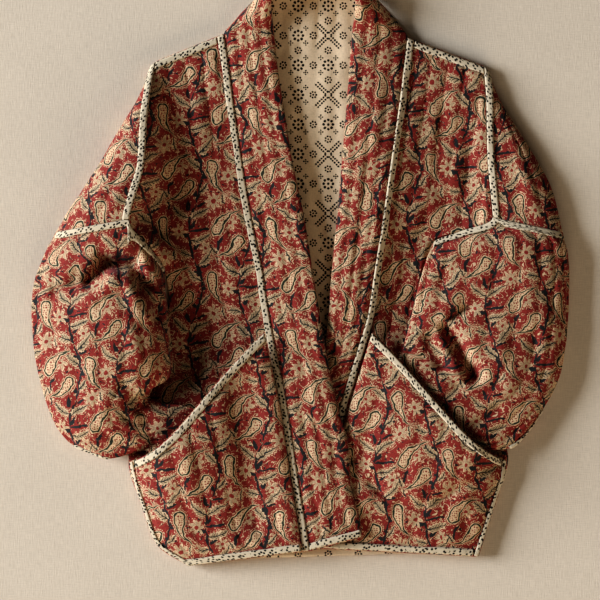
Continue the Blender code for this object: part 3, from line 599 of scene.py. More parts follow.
# Stitches: faces round and along one, its radius before it is scaled, how near a panel's edge a sewn line
# runs, as a share of a channel, and the rows left free at each of its ends.
STITCH_SEGMENTS = 5
STITCH_RINGS = 3
STITCH_RADIUS = 0.5
SEWN_MARGIN = 0.15
SEWN_ENDS = 4

# The stage, in metres: its floor, the colours of its lights, and how dark tones are shown.
FLOOR_SIZE = 6.0
FLOOR_LEVEL = -0.0003
FILL_COLOUR = (1.0, 0.86, 0.69)
LIGHT_COLOURS = {"key": (0.88, 0.93, 1.0), "low": FILL_COLOUR}
ALL_CHANNELS = 3
SHADE_TONES = ((0.015, 0.006), (0.04, 0.023), (0.08, 0.058), (0.16, 0.14), (0.3, 0.29))


def linear(red, green, blue):
    """Linear colour of a screen colour given in steps from 0 to 255."""
    shares = np.array((red, green, blue)) / 255
    return tuple(np.where(shares <= 0.04045, shares / 12.92, ((shares + 0.055) / 1.055) ** 2.4))


def value_property(name, description, default, **kind):
    return FloatProperty(name=name, description=description, default=default, **kind)


def length_property(name, description, millimetres):
    return value_property(name, description, millimetres * MM, unit="LENGTH", precision=5)


def angle_property(name, description, radians):
    return value_property(name, description, radians, subtype="ANGLE")


def metre_property(name, description, metres):
    return value_property(name, description, metres, unit="LENGTH")


def colour_property(name, description, default):
    return FloatVectorProperty(
        name=name, description=description, default=default, subtype="COLOR", min=0.0, max=1.0
    )


class JacketCloth(bpy.types.PropertyGroup):
    """Sizes of the quilted cloth, its bindings and its stitches."""

    step: length_property("Mesh Step", "Distance between neighbouring points of the cloth", 2.6)
    quilt_rise: length_property("Quilt Rise", "Rise of a channel between two sewn lines", 1.6)
    pucker: length_property("Pucker", "Height of the puckers along the sewn lines", 0.8)
    ripple: length_property("Ripple", "Height of the soft unevenness of the cloth", 1.2)
    binding_rise: length_property("Binding Rise", "Height of a binding over the cloth", 1.5)
    stitch_spacing: length_property("Stitch Spacing", "Distance from one stitch to the next", 6.0)
    stitch_length: length_property("Stitch Length", "Length of a stitch", 3.4)
    stitch_thickness: length_property("Stitch Thickness", "Thickness of the thread", 0.6)


class JacketPrint(bpy.types.PropertyGroup):
    """Colours of the two block-printed cottons and of the thread."""

    ground: colour_property("Ground", "Red ground of the quilted print", linear(134, 46, 38))
    petal: colour_property("Petal", "Cream of flowers, leaves and curls", linear(212, 178, 139))
    ink: colour_property("Ink", "Near black of stems, sprigs and ribs", linear(36, 37, 36))
    leaf: colour_property("Leaf", "Dark green of paisley bands and veins", linear(44, 50, 36))
    binding: colour_property("Binding", "Cream ground of the bindings", linear(206, 189, 160))
    lining: colour_property("Lining", "Cream ground of the lining", linear(224, 198, 164))
    dot: colour_property("Dot", "Near black of the dotted print", linear(20, 18, 18))
    thread: colour_property("Thread", "Colour of the quilting stitches", linear(124, 46, 39))


class JacketStage(bpy.types.PropertyGroup):
    """The floor, the lights and the camera."""

    floor: colour_property("Floor", "Colour of the linen floor", linear(222, 206, 184))
    key_strength: value_property("Key Strength", "Power of the main light", 1800.0, unit="POWER")
    key_turn: angle_property("Key Turn", "Direction of the main light, from +X", 3.0)
    key_height: angle_property("Key Height", "Main light's angle over the floor", 0.34)
    key_distance: metre_property("Key Distance", "Distance of the main light", 9.0)
    key_size: metre_property("Key Size", "Width of the main light", 4.5)
    fill: value_property("Fill", "Strength of the light from all round", 0.06)
    low_strength: value_property("Low Strength", "Power of the low second light", 420.0, unit="POWER")
    low_turn: angle_property("Low Turn", "Direction of the second light, from +X", -1.38)
    low_height: angle_property("Low Height", "Second light's angle over the floor", 0.25)
    low_distance: metre_property("Low Distance", "Distance of the second light", 7.0)
    low_size: metre_property("Low Size", "Width of the second light", 5.0)
    camera_height: metre_property("Camera Height", "Height of the camera over the floor", 6.0)
    view_width: metre_property("View Width", "Width of the floor that the camera sees", 0.75)
    view_shift: metre_property("View Shift", "View's middle, below the jacket's", 0.0425)


# A cloth's outer and inner points, outward normals, distances across and along, quilting channel, and
# places on the print.
Cloth = namedtuple("Cloth", "outer inner normals u v place chart")


def mesh_step():
    return bpy.context.scene.jacket_cloth.step / MM


def through(keys, values, at, level=True):
    """Smooth values between the rows of a table; level keeps them from overshooting a row."""
    keys = np.asarray(keys, float)
    values = np.asarray(values, float)
    at = np.clip(np.asarray(at, float), keys[0], keys[-1])
    steps = np.diff(keys)
    slopes = np.diff(values, axis=0) / steps[:, None]
    before, after = slopes[:-1], slopes[1:]
    tangents = np.empty_like(values)
    tangents[0], tangents[-1] = slopes[0], slopes[-1]
    if level:
        same = before * after > 0
        total = np.where(same, before + after, 1.0)
        tangents[1:-1] = np.where(same, 2 * before * after / total, 0.0)
    else:
        tangents[1:-1] = (before + after) / 2
    row = np.clip(np.searchsorted(keys, at, side="right") - 1, 0, len(steps) - 1)
    step = steps[row][..., None]
    t = ((at - keys[row]) / steps[row])[..., None]
    rise = t * t * (3 - 2 * t)
    start = t * (1 - t) ** 2 * step
    end = -t * t * (1 - t) * step
    straight = values[row] * (1 - rise) + values[row + 1] * rise
    return straight + tangents[row] * start + tangents[row + 1] * end


def along(table, at):
    return through(np.arange(len(table)), table, at)


def smooth(t):
    t = np.clip(t, 0.0, 1.0)
    return t * t * (3 - 2 * t)


def unit(vectors):
    return vectors / np.maximum(np.linalg.norm(vectors, axis=-1, keepdims=True), 1e-9)


def run_length(line, axis=0):
    """Distance along a line of points, from its first point to each."""
    steps = np.linalg.norm(np.diff(line, axis=axis), axis=-1)
    start = np.zeros_like(np.take(steps, [0], axis=axis))
    return np.concatenate([start, np.cumsum(steps, axis=axis)], axis=axis)


def soft_noise(x, y, seed):
    """Smooth values from -1 to 1 that change over about one unit of x or y, the same on every run."""

    def corner(i, j):
        turn = np.sin(i * NOISE_TURNS[0] + j * NOISE_TURNS[1] + seed * NOISE_TURNS[2]) * NOISE_SCATTER
        return 2 * (turn - np.floor(turn)) - 1

    x, y = np.broadcast_arrays(x, y)
    i, j = np.floor(x), np.floor(y)
    fx, fy = smooth(x - i), smooth(y - j)
    low = corner(i, j) * (1 - fx) + corner(i + 1, j) * fx
    high = corner(i, j + 1) * (1 - fx) + corner(i + 1, j + 1) * fx
    return low * (1 - fy) + high * fy


def fold_heights(plan, folds):
    """Height that the folds add at points seen from above: each is a soft trough or ridge on a line.

    Folds of one kind that meet run into each other at their full depth, and don't add up."""
    ridges = np.zeros(plan.shape[:-1])
    troughs = np.zeros(plan.shape[:-1])
    for fold in folds:
        start = np.array((fold.x0, fold.y0))
        run = np.array((fold.x1, fold.y1)) - start
        offset = plan - start
        share = np.clip(offset @ run / (run @ run), 0.0, 1.0)
        away = np.linalg.norm(offset - share[..., None] * run, axis=-1)
        height = abs(fold.depth) * np.exp(-((away / fold.width) ** 2))
        if fold.depth > 0:
            ridges += height**4
        else:
            troughs += height**4
    return ridges**0.25 - troughs**0.25


def normals_of(grid, ring):
    """Unit normals of a grid of points; a ring's last column is next to its first."""
    if ring:
        across = np.roll(grid, -1, axis=1) - np.roll(grid, 1, axis=1)
    else:
        across = np.gradient(grid, axis=1)
    return unit(np.cross(across, np.gradient(grid, axis=0)))


def quilting(place, width, v, seed):
    """Rise of a quilted face. Its sewn lines lie where place is a whole number, v runs along them."""
    sizes = bpy.context.scene.jacket_cloth
    place = np.nan_to_num(place)
    line = np.round(place)
    near = np.abs(place - line)
    fill = 1 + FILL_SPREAD * soft_noise(np.floor(place) * FILL_STEP, v / FILL_PITCH, seed)
    puff = fill * np.sin(np.pi * near) ** PUFF_ROUND
    pull = np.exp(-((near * width / PUCKER_REACH) ** 2))
    flank = line * PUCKER_STEP + np.sign(place - line)
    pucker = pull * soft_noise(v / PUCKER_PITCH, flank, seed + PUCKER_SEED)
    across, lengthwise = place * width / RIPPLE_PITCH, v / RIPPLE_PITCH
    ripple = soft_noise(across, lengthwise, seed + RIPPLE_SEED)
    fine = soft_noise(across * FINE_ACROSS, lengthwise * FINE_ALONG, seed + FINE_SEED)
    ripple = ripple + FINE_RIPPLE * fine
    return (puff * sizes.quilt_rise + pucker * sizes.pucker + ripple * sizes.ripple) / MM


def panel_surface(table, folds, rows, shares, sag=0.0):
    """Points of a panel given by sections, each running from the seam (share 0) to the side (share 1)."""
    rows, shares = np.broadcast_arrays(rows, shares)
    section = along(table, rows)
    seam, side = section[..., SEAM_XY], section[..., SIDE_XY]
    plan = seam + (side - seam) * shares[..., None]
    plan[..., 1] -= sag * np.sin(np.pi * shares**SAG_SKEW) * (rows / (len(table) - 1)) ** 2
    mix = through(ACROSS, np.eye(len(ACROSS)), shares, level=False)
    heights = (mix * section[..., SECTION_Z]).sum(-1) + fold_heights(plan, folds)
    return np.concatenate([plan, heights[..., None]], axis=-1)


def front_surface(side, rows, shares):
    return panel_surface(np.array(FRONTS[side]), FRONT_FOLDS[side] + FRONT_CREASES[side], rows, shares)


def even_steps(length):
    """Distances one mesh step apart, up to this length."""
    return np.linspace(0.0, length, int(length / mesh_step()) + 1)


def even_rows(table):
    """Rows of a panel's table one mesh step apart along its middle, and their distances from the first."""
    dense = np.linspace(0.0, len(table) - 1, DENSE)
    section = along(table, dense)
    length = run_length((section[:, SEAM_XY] + section[:, SIDE_XY]) / 2)
    v = even_steps(length[-1])
    return np.interp(v, length, dense), v


def even_columns(widths):
    return np.linspace(0.0, 1.0, int(widths.max() / mesh_step()) + 1)


def panel_places(table):
    """Rows and shares of a panel's points, its widths, and the points' distances across and along."""
    rows, v = even_rows(table)
    section = along(table, rows)
    widths = np.linalg.norm(section[:, SIDE_XY] - section[:, SEAM_XY], axis=1)
    shares = even_columns(widths)
    u = shares[None] * widths[:, None]
    return rows[:, None], shares[None], widths, u, np.repeat(v[:, None], len(shares), axis=1)


def eased(distance, last):
    """Share of the quilting that is left near the first and last edge of a panel."""
    return smooth(distance / EDGE_EASE) * smooth((last - distance) / EDGE_EASE)


def turned(turn, last):
    """Share of the quilting that is left near the two sides of a turn."""
    return smooth(turn / TURN_EASE) * smooth((last - turn) / TURN_EASE)


@lru_cache(maxsize=None)
def front_cloth(side):
    rows, shares, widths, u, v = panel_places(np.array(FRONTS[side]))
    grid = front_surface(side, rows, shares)
    normals = OUTWARD[side] * normals_of(grid, False)
    place = (u - BINDING) / CHANNEL
    ease = smooth((u - BINDING) / EDGE_EASE) * eased(u, widths[:, None]) * eased(v, v.max() - BINDING)
    rise = ease * quilting(place, CHANNEL, v, SEEDS[f"front_{side}"])
    return Cloth(grid + normals * rise[..., None], grid - WALL * UP, normals, u, v, place, grid[..., :2])


@lru_cache(maxsize=None)
def pocket_cloth(side):
    table = np.array(POCKETS[side])
    rows, shares, widths, u, v = panel_places(table)
    grid = panel_surface(table, POCKET_FOLDS[side] + POCKET_CREASES[side], rows, shares, MOUTH_SAG[side])
    normals = OUTWARD[side] * normals_of(grid, False)
    ease = eased(u, widths[:, None] - SIDE_BINDING) * eased(v - BINDING, v.max() - 2 * BINDING)
    place = np.repeat(shares * POCKET_CHANNELS, len(rows), axis=0)
    rise = ease * quilting(place, widths.mean() / POCKET_CHANNELS, v, SEEDS[f"pocket_{side}"])
    return Cloth(grid + normals * rise[..., None], grid - WALL * normals, normals, u, v, place, grid[..., :2])


@lru_cache(maxsize=None)
def shoulder_cloth(side):
    """A dropped shoulder panel, folded at its outer edge: front half on top, back half on the surface.

    It comes with the number of its columns that lie on top."""
    rows = np.linspace(len(FRONTS[side]) - 1, ARMHOLE_ROW[side], DENSE)
    edge = front_surface(side, rows, np.ones(DENSE))
    length = run_length(edge)
    v = even_steps(length[-1])
    armhole = np.stack([np.interp(v, length, edge[:, k]) for k in range(3)], axis=1)
    armhole[:, 0] += OUTWARD[side] * SEAM_GAP
    panel = np.array(SHOULDERS[side])
    section = along(panel, v / v[-1] * (len(panel) - 1))
    outer_xy, crown_z, outer_z = np.split(section, (2, 3), axis=1)
    run = outer_xy - armhole[:, :2]
    widths = np.linalg.norm(run, axis=1)
    first = np.minimum(BINDING / widths, SHOULDER_BINDING_SHARE)[:, None]
    columns = int(widths.max() / mesh_step())
    turn = np.linspace(0.0, np.pi / 2, columns + 1)
    bound = first * np.linspace(0.0, 1.0, BOUND_COLUMNS + 1)[:-1]
    top = np.concatenate([bound, first + (1 - first) * np.sin(turn)], axis=1)
    under = np.linspace(SHOULDER_UNDER_START, 0.0, columns // 2)
    under = np.repeat(under[None], len(widths), axis=0)
    share = np.concatenate([top, under], axis=1)
    plan = armhole[:, None, :2] + run[:, None] * share[..., None]
    drop = np.sqrt(np.clip(1 - top**SHOULDER_ROUND, 0.0, 1.0))
    heights = outer_z + (armhole[:, 2:3] - outer_z) * drop
    crown = SHOULDER_CROWN * top * drop * (1 - SHOULDER_CROWN_LEAN * top)
    heights = heights + (crown_z - armhole[:, 2:3]) * crown
    heights = heights + fold_heights(plan[:, :top.shape[1]], SHOULDER_CREASES[side]) * drop
    z = np.concatenate([heights, np.zeros_like(under)], axis=1)
    grid = np.concatenate([plan, z[..., None]], axis=-1)
    normals = -OUTWARD[side] * normals_of(grid, False)
    v = np.repeat(v[:, None], share.shape[1], axis=1)
    quilted = slice(BOUND_COLUMNS, BOUND_COLUMNS + len(turn))
    place = np.full(share.shape, np.nan)
    place[:, quilted] = turn / turn[-1] * SHOULDER_CHANNELS
    over = np.zeros(share.shape[1])
    over[quilted] = turned(turn, turn[-1])
    ease = over * eased(v, v.max() - BINDING) * smooth(widths / FULL_WIDTH)[:, None]
    rise = ease * quilting(place, CHANNEL, v, SEEDS[f"shoulder_panel_{side}"])
    level = np.sqrt(1 - share**2)
    level[:, top.shape[1]:] *= -1
    flat_run = np.concatenate([unit(run), np.zeros((len(run), 1))], axis=1)
    inward = -flat_run[:, None] * share[..., None] - UP * level[..., None]
    u = run_length(grid, axis=1)
    chart = armhole[:, None, :2] + unit(run)[:, None] * u[..., None]
    cloth = Cloth(grid + normals * rise[..., None], grid + WALL * inward, normals, u, v, place, chart)
    return cloth, top.shape[1]


def ride_height(side, plan, height):
    """Height of a sleeve's underside: on the surface outside the body, and at this height over its side."""
    rows = np.linspace(0.0, UNDERARM_ROW[side], DENSE)
    side_x, side_y = along(np.array(FRONTS[side]), rows)[:, SIDE_XY].T
    order = np.argsort(side_y)
    outside = (plan[..., 0] - np.interp(plan[..., 1], side_y[order], side_x[order])) * OUTWARD[side]
    below = FRONTS[side][UNDERARM_ROW[side]].side_y - UNDERARM_FREE - plan[..., 1]
    return height * smooth((RIDE_START - outside) / (RIDE_START - RIDE_END)) * smooth(below / UNDERARM_RAMP)


def sleeve_seam(side):
    """The sleeve's seam seen from above: under the shoulder panel's edge, then down the front's edge."""
    shoulder, top = shoulder_cloth(side)
    over = shoulder.outer[-1, :top][::-1] - np.array((0.0, SEAM_GAP, 0.0))
    rows = np.linspace(ARMHOLE_ROW[side], UNDERARM_ROW[side], DENSE // 4)[1:]
    under = front_surface(side, rows, np.ones(len(rows)))
    return np.concatenate([over, under + np.array((OUTWARD[side] * SEAM_GAP, -SEAM_GAP, 0.0))])


def sleeve_rings(side, turn):
    """The sleeve's rings, as points at these turns: over the top from its outer edge, then back under."""
    share = (1 - np.cos(turn)) / 2
    table = np.array(SLEEVES[side])
    outer, crown, inner = np.split(table[:, None, :6], 3, axis=-1)
    outer_z, crown_z, inner_z, ride_z = np.split(table[:, 6:], 4, axis=1)
    s = share[:, None]
    plan = outer * (1 - s) * (1 - 2 * s) + crown * 4 * s * (1 - s) + inner * s * (2 * s - 1)
    edge_z = outer_z * (1 - share) + inner_z * share
    full = np.clip(4 * share * (1 - share), 0.0, 1.0) ** FULLNESS[side]
    top = edge_z + (crown_z - (outer_z + inner_z) / 2) * full
    base = ride_height(side, plan, ride_z)
    flat = np.sqrt(np.abs(np.sin(turn)))
    under = edge_z + (base - edge_z) * flat
    heights = np.where(turn <= np.pi, top, under)
    rings = np.concatenate([plan, heights[..., None]], axis=-1)
    seam = sleeve_seam(side)
    length = run_length(seam[:, :2])
    first = np.stack([np.interp(share, length / length[-1], seam[:, k]) for k in range(3)], axis=1)
    first[:, 2] = np.where(turn <= np.pi, first[:, 2], first[:, 2] * (1 - flat))
    return np.concatenate([first[None], rings])


def sleeve_places(rings, crown):
    """Places along a sleeve one mesh step apart at its crown, counted in rings from its seam."""
    keys = np.arange(len(rings))
    dense = np.linspace(0.0, keys[-1], DENSE)
    length = run_length(through(keys, rings[:, crown], dense))
    return np.interp(even_steps(length[-1]), length, dense)


@lru_cache(maxsize=None)
def sleeve_cloth(side):
    """A sleeve, with the places of its rows counted in rings from its seam."""
    over = np.linspace(0.0, np.pi, SLEEVE_TOP + 1)
    under = np.linspace(np.pi, 2 * np.pi, SLEEVE_TOP // 2 + 1)[1:-1]
    turn = np.concatenate([over, under])
    rings = sleeve_rings(side, turn)
    places = sleeve_places(rings, SLEEVE_TOP // 2)
    listed = rings.reshape(len(rings), -1)
    grid = through(np.arange(len(rings)), listed, places).reshape(len(places), len(turn), 3)
    full = np.where(turn <= np.pi, np.abs(np.sin(turn)), 0.0) ** (2 * FULLNESS[side])
    begun = smooth(places)[:, None]
    grid[..., 2] += begun * full * fold_heights(grid[..., :2], SLEEVE_FOLDS[side] + SLEEVE_CREASES[side])
    closed = np.concatenate([grid, grid[:, :1]], axis=1)
    u = run_length(closed, axis=1)
    u = u - u[:, SLEEVE_TOP // 2:SLEEVE_TOP // 2 + 1]
    v = run_length(closed, axis=0)
    normals = OUTWARD[side] * normals_of(grid, True)
    place = np.where(turn <= np.pi, turn / np.pi * SLEEVE_CHANNELS, np.nan)
    place = np.repeat(place[None], len(places), axis=0)
    over_top = np.where(turn <= np.pi, turned(turn, np.pi), 0.0)
    ease = over_top * eased(v[:, :-1] - BINDING, v.max())
    rise = ease * quilting(place, CHANNEL, v[:, :-1], SEEDS[f"sleeve_{side}"])
    across = unit((grid[:, SLEEVE_TOP] - grid[:, 0]) * np.array((1.0, 1.0, 0.0)))
    inward = across[:, None] * np.cos(turn)[:, None] - UP * np.sin(turn)[:, None]
    flat = across[:, None, :2]
    level = ((closed[..., :2] - grid[:, SLEEVE_TOP // 2, None, :2]) * flat).sum(-1)
    chart = closed[..., :2] + flat * (u - level)[..., None]
    cloth = Cloth(grid + normals * rise[..., None], grid + WALL * inward, normals, u, v, place, chart)
    return cloth, places


@lru_cache(maxsize=None)
def band_cloth():
    """The neck band: up the right front, round the neck, and down the left front."""
    seams, edges = {}, {}
    for side in SIDES:
        table = np.array(FRONTS[side])
        rows, _ = even_rows(table)
        seam = front_surface(side, rows, np.zeros(len(rows)))
        edge = along(table, rows)[:, BAND_EDGE]
        order = slice(None) if side == "right" else slice(None, None, -1)
        seams[side] = (seam + unit(edge - seam) * SEAM_GAP)[order]
        edges[side] = edge[order]
    neck_seam, neck_edge, neck_arch = np.split(np.array(NECK), (3, 6), axis=1)
    legs = np.full((LEAD_ROWS, 1), LEG_ARCH)
    reach = LEAD_STEP * (LEAD_ROWS - 1) + 1
    before, after = slice(-reach, None, LEAD_STEP), slice(None, reach, LEAD_STEP)
    bow_seam = np.concatenate([seams["right"][before], neck_seam, seams["left"][after]])
    bow_edge = np.concatenate([edges["right"][before], neck_edge, edges["left"][after]])
    bow_arch = np.concatenate([legs, neck_arch, legs])
    length = run_length((bow_seam + bow_edge) / 2)
    inside = np.arange(length[LEAD_ROWS - 1], length[-LEAD_ROWS], mesh_step())[1:-1]
    bow = through(length, np.concatenate([bow_seam, bow_edge, bow_arch], axis=1), inside)
    round_seam, round_edge, round_arch = np.split(bow, (3, 6), axis=1)
    seam = np.concatenate([seams["right"], round_seam, seams["left"]])
    edge = np.concatenate([edges["right"], round_edge, edges["left"]])
    arch = np.full((len(seam), 1), LEG_ARCH)
    arch[len(seams["right"]):-len(seams["left"])] = round_arch
    widths = np.linalg.norm(edge - seam, axis=1)
    share = even_columns(widths)
    grid = seam[:, None] + (edge - seam)[:, None] * share[:, None]
    crown = 4 * share * (1 - share) * arch
    grid = grid + normals_of(grid, False) * crown[..., None]
    grid[..., 2] += fold_heights(grid[..., :2], BAND_CREASES)
    normals = normals_of(grid, False)
    u = share[None] * widths[:, None]
    v = np.repeat(run_length((seam + edge) / 2)[:, None], len(share), axis=1)
    ease = eased(v - BINDING, v.max() - 2 * BINDING) * eased(u, widths[:, None])
    place = np.repeat(share[None] * BAND_CHANNELS, len(seam), axis=0)
    rise = ease * quilting(place, widths.mean() / BAND_CHANNELS, v, SEEDS["neck_band"])
    chart = np.stack([u, v], axis=-1)
    return Cloth(grid + normals * rise[..., None], grid - BAND_WALL * normals, normals, u, v, place, chart)


def side_chain(side, inset):
    """The back's outline on one side, from its hem up its side, armhole and shoulder to the neck's middle."""
    edge = front_cloth(side).inner[:, -1, :2].copy()
    edge[0, 1] += BACK_HEM_RISE
    neck = front_cloth(side).inner[-1:, 0, :2] - np.array((0.0, NECK_POINT_DROP))
    curve = np.array(BACK_NECK if side == "right" else BACK_NECK[::-1])[:len(BACK_NECK) // 2 + 1]
    chain = np.concatenate([edge, neck, curve])
    chain[:, 0] -= OUTWARD[side] * inset
    chain[:, 1] = np.maximum.accumulate(chain[:, 1])
    return chain


def flat_cloth(node, bottom, top, inset):
    """A flat panel of the back's outline. The back's outer face lies on the surface, the lining's shows."""
    right, left = side_chain("right", inset), side_chain("left", inset)
    hem = right[:1] + np.array((HEM_CORNER, 0.0))
    left = np.concatenate([hem, left])
    low, high = right[0, 1] + inset, right[-1, 1] - inset
    step = BACK_STEP * mesh_step()
    y = np.linspace(low, high, int((high - low) / step) + 1)
    first = np.interp(y, right[:, 1], right[:, 0])
    last = np.maximum(np.interp(y, left[:, 1], left[:, 0]), first + HEM_CORNER)
    share = even_columns((last - first) / BACK_STEP)
    x = first[:, None] + (last - first)[:, None] * share
    y = np.repeat(y[:, None], len(share), axis=1)
    shows = smooth((LINING_SHOWS - np.abs(x - LINING_MIDDLE)) / LINING_RAMP)
    shows = shows * smooth((y - LINING_LOW) / LINING_RAMP) * eased(high - y, high - low)
    relief = shows * np.maximum(quilting(x / CHANNEL, CHANNEL, y, SEEDS[node]), 0.0)
    upper = np.stack([x, y, np.full_like(x, top)], axis=-1)
    lower = np.stack([x, y, np.full_like(x, bottom)], axis=-1)
    normals = np.broadcast_to(UP, upper.shape)
    place = np.full_like(x, np.nan)
    if node == "back":
        return Cloth(lower, upper, -normals, -x, y, place, np.stack([-x, y], axis=-1))
    return Cloth(upper + relief[..., None] * UP, lower, normals, x, y, place, upper[..., :2])


def corners(grid):
    """The four corners of each face of a grid, in order round the face."""
    faces = np.stack([grid[:-1, :-1], grid[:-1, 1:], grid[1:, 1:], grid[1:, :-1]], axis=2)
    return faces.reshape(-1, *faces.shape[2:])


def borders(grid, ring):
    """The loops of values along a grid's edges, in the direction of its faces, and the values beside them."""
    if ring:
        return [(grid[0, :-1], grid[1, :-1]), (grid[-1, :0:-1], grid[-2, :0:-1])]
    loop = np.concatenate([grid[0, :-1], grid[:-1, -1], grid[-1, :0:-1], grid[:0:-1, 0]])
    beside = np.concatenate([grid[1, :-1], grid[:-1, -2], grid[-2, :0:-1], grid[:0:-1, 1]])
    return [(loop, beside)]


def signed_volume(points, quads):
    a, b, c, d = (points[quads[:, k]] for k in range(4))
    return ((np.cross(b, c) * a).sum() + (np.cross(c, d) * a).sum()) / 6


def add_piece(name, points, faces, uvs, materials, indices=None):
    """A smooth mesh from points in millimetres, with a place on the print for each corner of each face."""
    mesh = bpy.data.meshes.new(name)
    mesh.from_pydata((points * MM).tolist(), [], faces)
    layer = mesh.uv_layers.new(name=UV_NAME)
    layer.data.foreach_set("uv", (np.asarray(uvs) * MM).ravel())
    if indices is not None:
        mesh.polygons.foreach_set("material_index", indices)
    for material in materials:
        mesh.materials.append(material)
    mesh.shade_smooth()
    piece = bpy.data.objects.new(name, mesh)
    bpy.context.scene.collection.objects.link(piece)
    return piece


def add_wall(name, cloth, shift, materials, ring=False):
    """A closed wall of cloth with a rounded rim; its inner side has the second material."""
    rows, columns = cloth.outer.shape[:2]
    count = rows * columns
    index = np.arange(count).reshape(rows, columns)
    if ring:
        index = np.concatenate([index, index[:, :1]], axis=1)
    print_place = cloth.chart + shift
    outer, inner = cloth.outer.reshape(-1, 3), cloth.inner.reshape(-1, 3)
    quads, quad_uvs = corners(index), corners(print_place)
    points = [outer, inner]
    faces = [quads, quads[:, ::-1] + count]
    uvs = [quad_uvs, quad_uvs[:, ::-1]]
    indices = [np.zeros(len(quads), int), np.ones(len(quads), int)]
    first = 2 * count
    for (loop, beside), (uv, uv_beside) in zip(borders(index, ring), borders(print_place, ring)):
        away = unit(outer[loop] - outer[beside])
        thick = np.linalg.norm(outer[loop] - inner[loop], axis=1)[:, None]
        middle = first + np.arange(len(loop))
        first += len(loop)
        points.append((outer[loop] + inner[loop]) / 2 + away * thick * RIM_ROUND)
        uv_step = unit(uv - uv_beside) * thick / 2
        levels = (loop, middle, loop + count)
        for k in range(2):
            near, far = levels[k], levels[k + 1]
            faces.append(np.stack([np.roll(near, -1), near, far, np.roll(far, -1)], axis=1))
            near_uv, far_uv = uv + uv_step * k, uv + uv_step * (k + 1)
            sides = [np.roll(near_uv, -1, axis=0), near_uv, far_uv, np.roll(far_uv, -1, axis=0)]
            uvs.append(np.stack(sides, axis=1))
            indices.append(np.zeros(len(loop), int))
    points, faces, uvs = np.concatenate(points), np.concatenate(faces), np.concatenate(uvs)
    if signed_volume(points, faces) < 0:
        faces, uvs = faces[:, ::-1], uvs[:, ::-1]
    return add_piece(name, points, faces.tolist(), uvs, materials, np.concatenate(indices))


def at_rows(grid, places):
    """Values of a grid at fractional rows, one list of rows for each column."""
    low = np.minimum(places.astype(int), len(grid) - 2)
    share = (places - low)[..., None]
    column = np.arange(grid.shape[1])[:, None]
    return grid[low, column] * (1 - share) + grid[low + 1, column] * share


def add_strip(name, grid, normals, width, rise, seed, material):
    """A rounded binding on the stretch of cloth beside the first row of a grid of points."""
    grid, normals = grid[:REACH_ROWS], normals[:REACH_ROWS]
    run = unit(np.gradient(grid[0], axis=0))
    offset = grid - grid[0]
    gap = np.linalg.norm(offset - (offset * run).sum(-1, keepdims=True) * run, axis=-1)
    gap = np.maximum.accumulate(gap, axis=0)
    length = run_length(grid[0])
    wide = width * (1 + BINDING_WIDE_SPREAD * soft_noise(length / BINDING_WIDE_PITCH, 0.0, seed))
    high = rise * (1 + BINDING_HIGH_SPREAD * soft_noise(length / BINDING_HIGH_PITCH, 3.0, seed))
    shares = np.concatenate([BINDING_SHARES, BINDING_BASE])
    rows = np.arange(len(grid))
    places = np.array([np.interp(shares * wide[c], gap[:, c], rows) for c in range(grid.shape[1])])
    heights = np.zeros(len(shares))
    heights[:len(BINDING_SHARES)] = np.sqrt(1 - np.abs(2 * BINDING_SHARES - 1) ** BINDING_ROUND)
    lift = BINDING_GAP + high[:, None] * heights
    ring = at_rows(grid, places) + at_rows(normals, places) * lift[..., None]
    count, sides = ring.shape[:2]
    across = np.cumsum(np.linalg.norm(np.diff(ring, axis=1, prepend=ring[:, :1]), axis=-1), axis=1)
    place = np.stack([length[:, None] + across, across - length[:, None]], axis=-1) * np.sqrt(0.5)
    place = place + print_shift(seed)
    index = np.arange(count * sides).reshape(count, sides)
    index = np.concatenate([index, index[:, :1]], axis=1)
    place = np.concatenate([place, place[:, :1]], axis=1)
    quads, uvs = corners(index), corners(place)
    caps = [index[0, -2::-1], index[-1, :-1]]
    cap_uvs = [place[0, -2::-1], place[-1, :-1]]
    points = ring.reshape(-1, 3)
    if signed_volume(points, quads) < 0:
        quads, uvs = quads[:, ::-1], uvs[:, ::-1]
        caps, cap_uvs = [cap[::-1] for cap in caps], [uv[::-1] for uv in cap_uvs]
    faces = quads.tolist() + [cap.tolist() for cap in caps]
    all_uvs = np.concatenate([uvs.reshape(-1, 2), *cap_uvs])
    return add_piece(name, points, faces, all_uvs, [material])


def print_shift(seed):
    """A piece's own place on the print."""
    return seed * PRINT_SHIFT


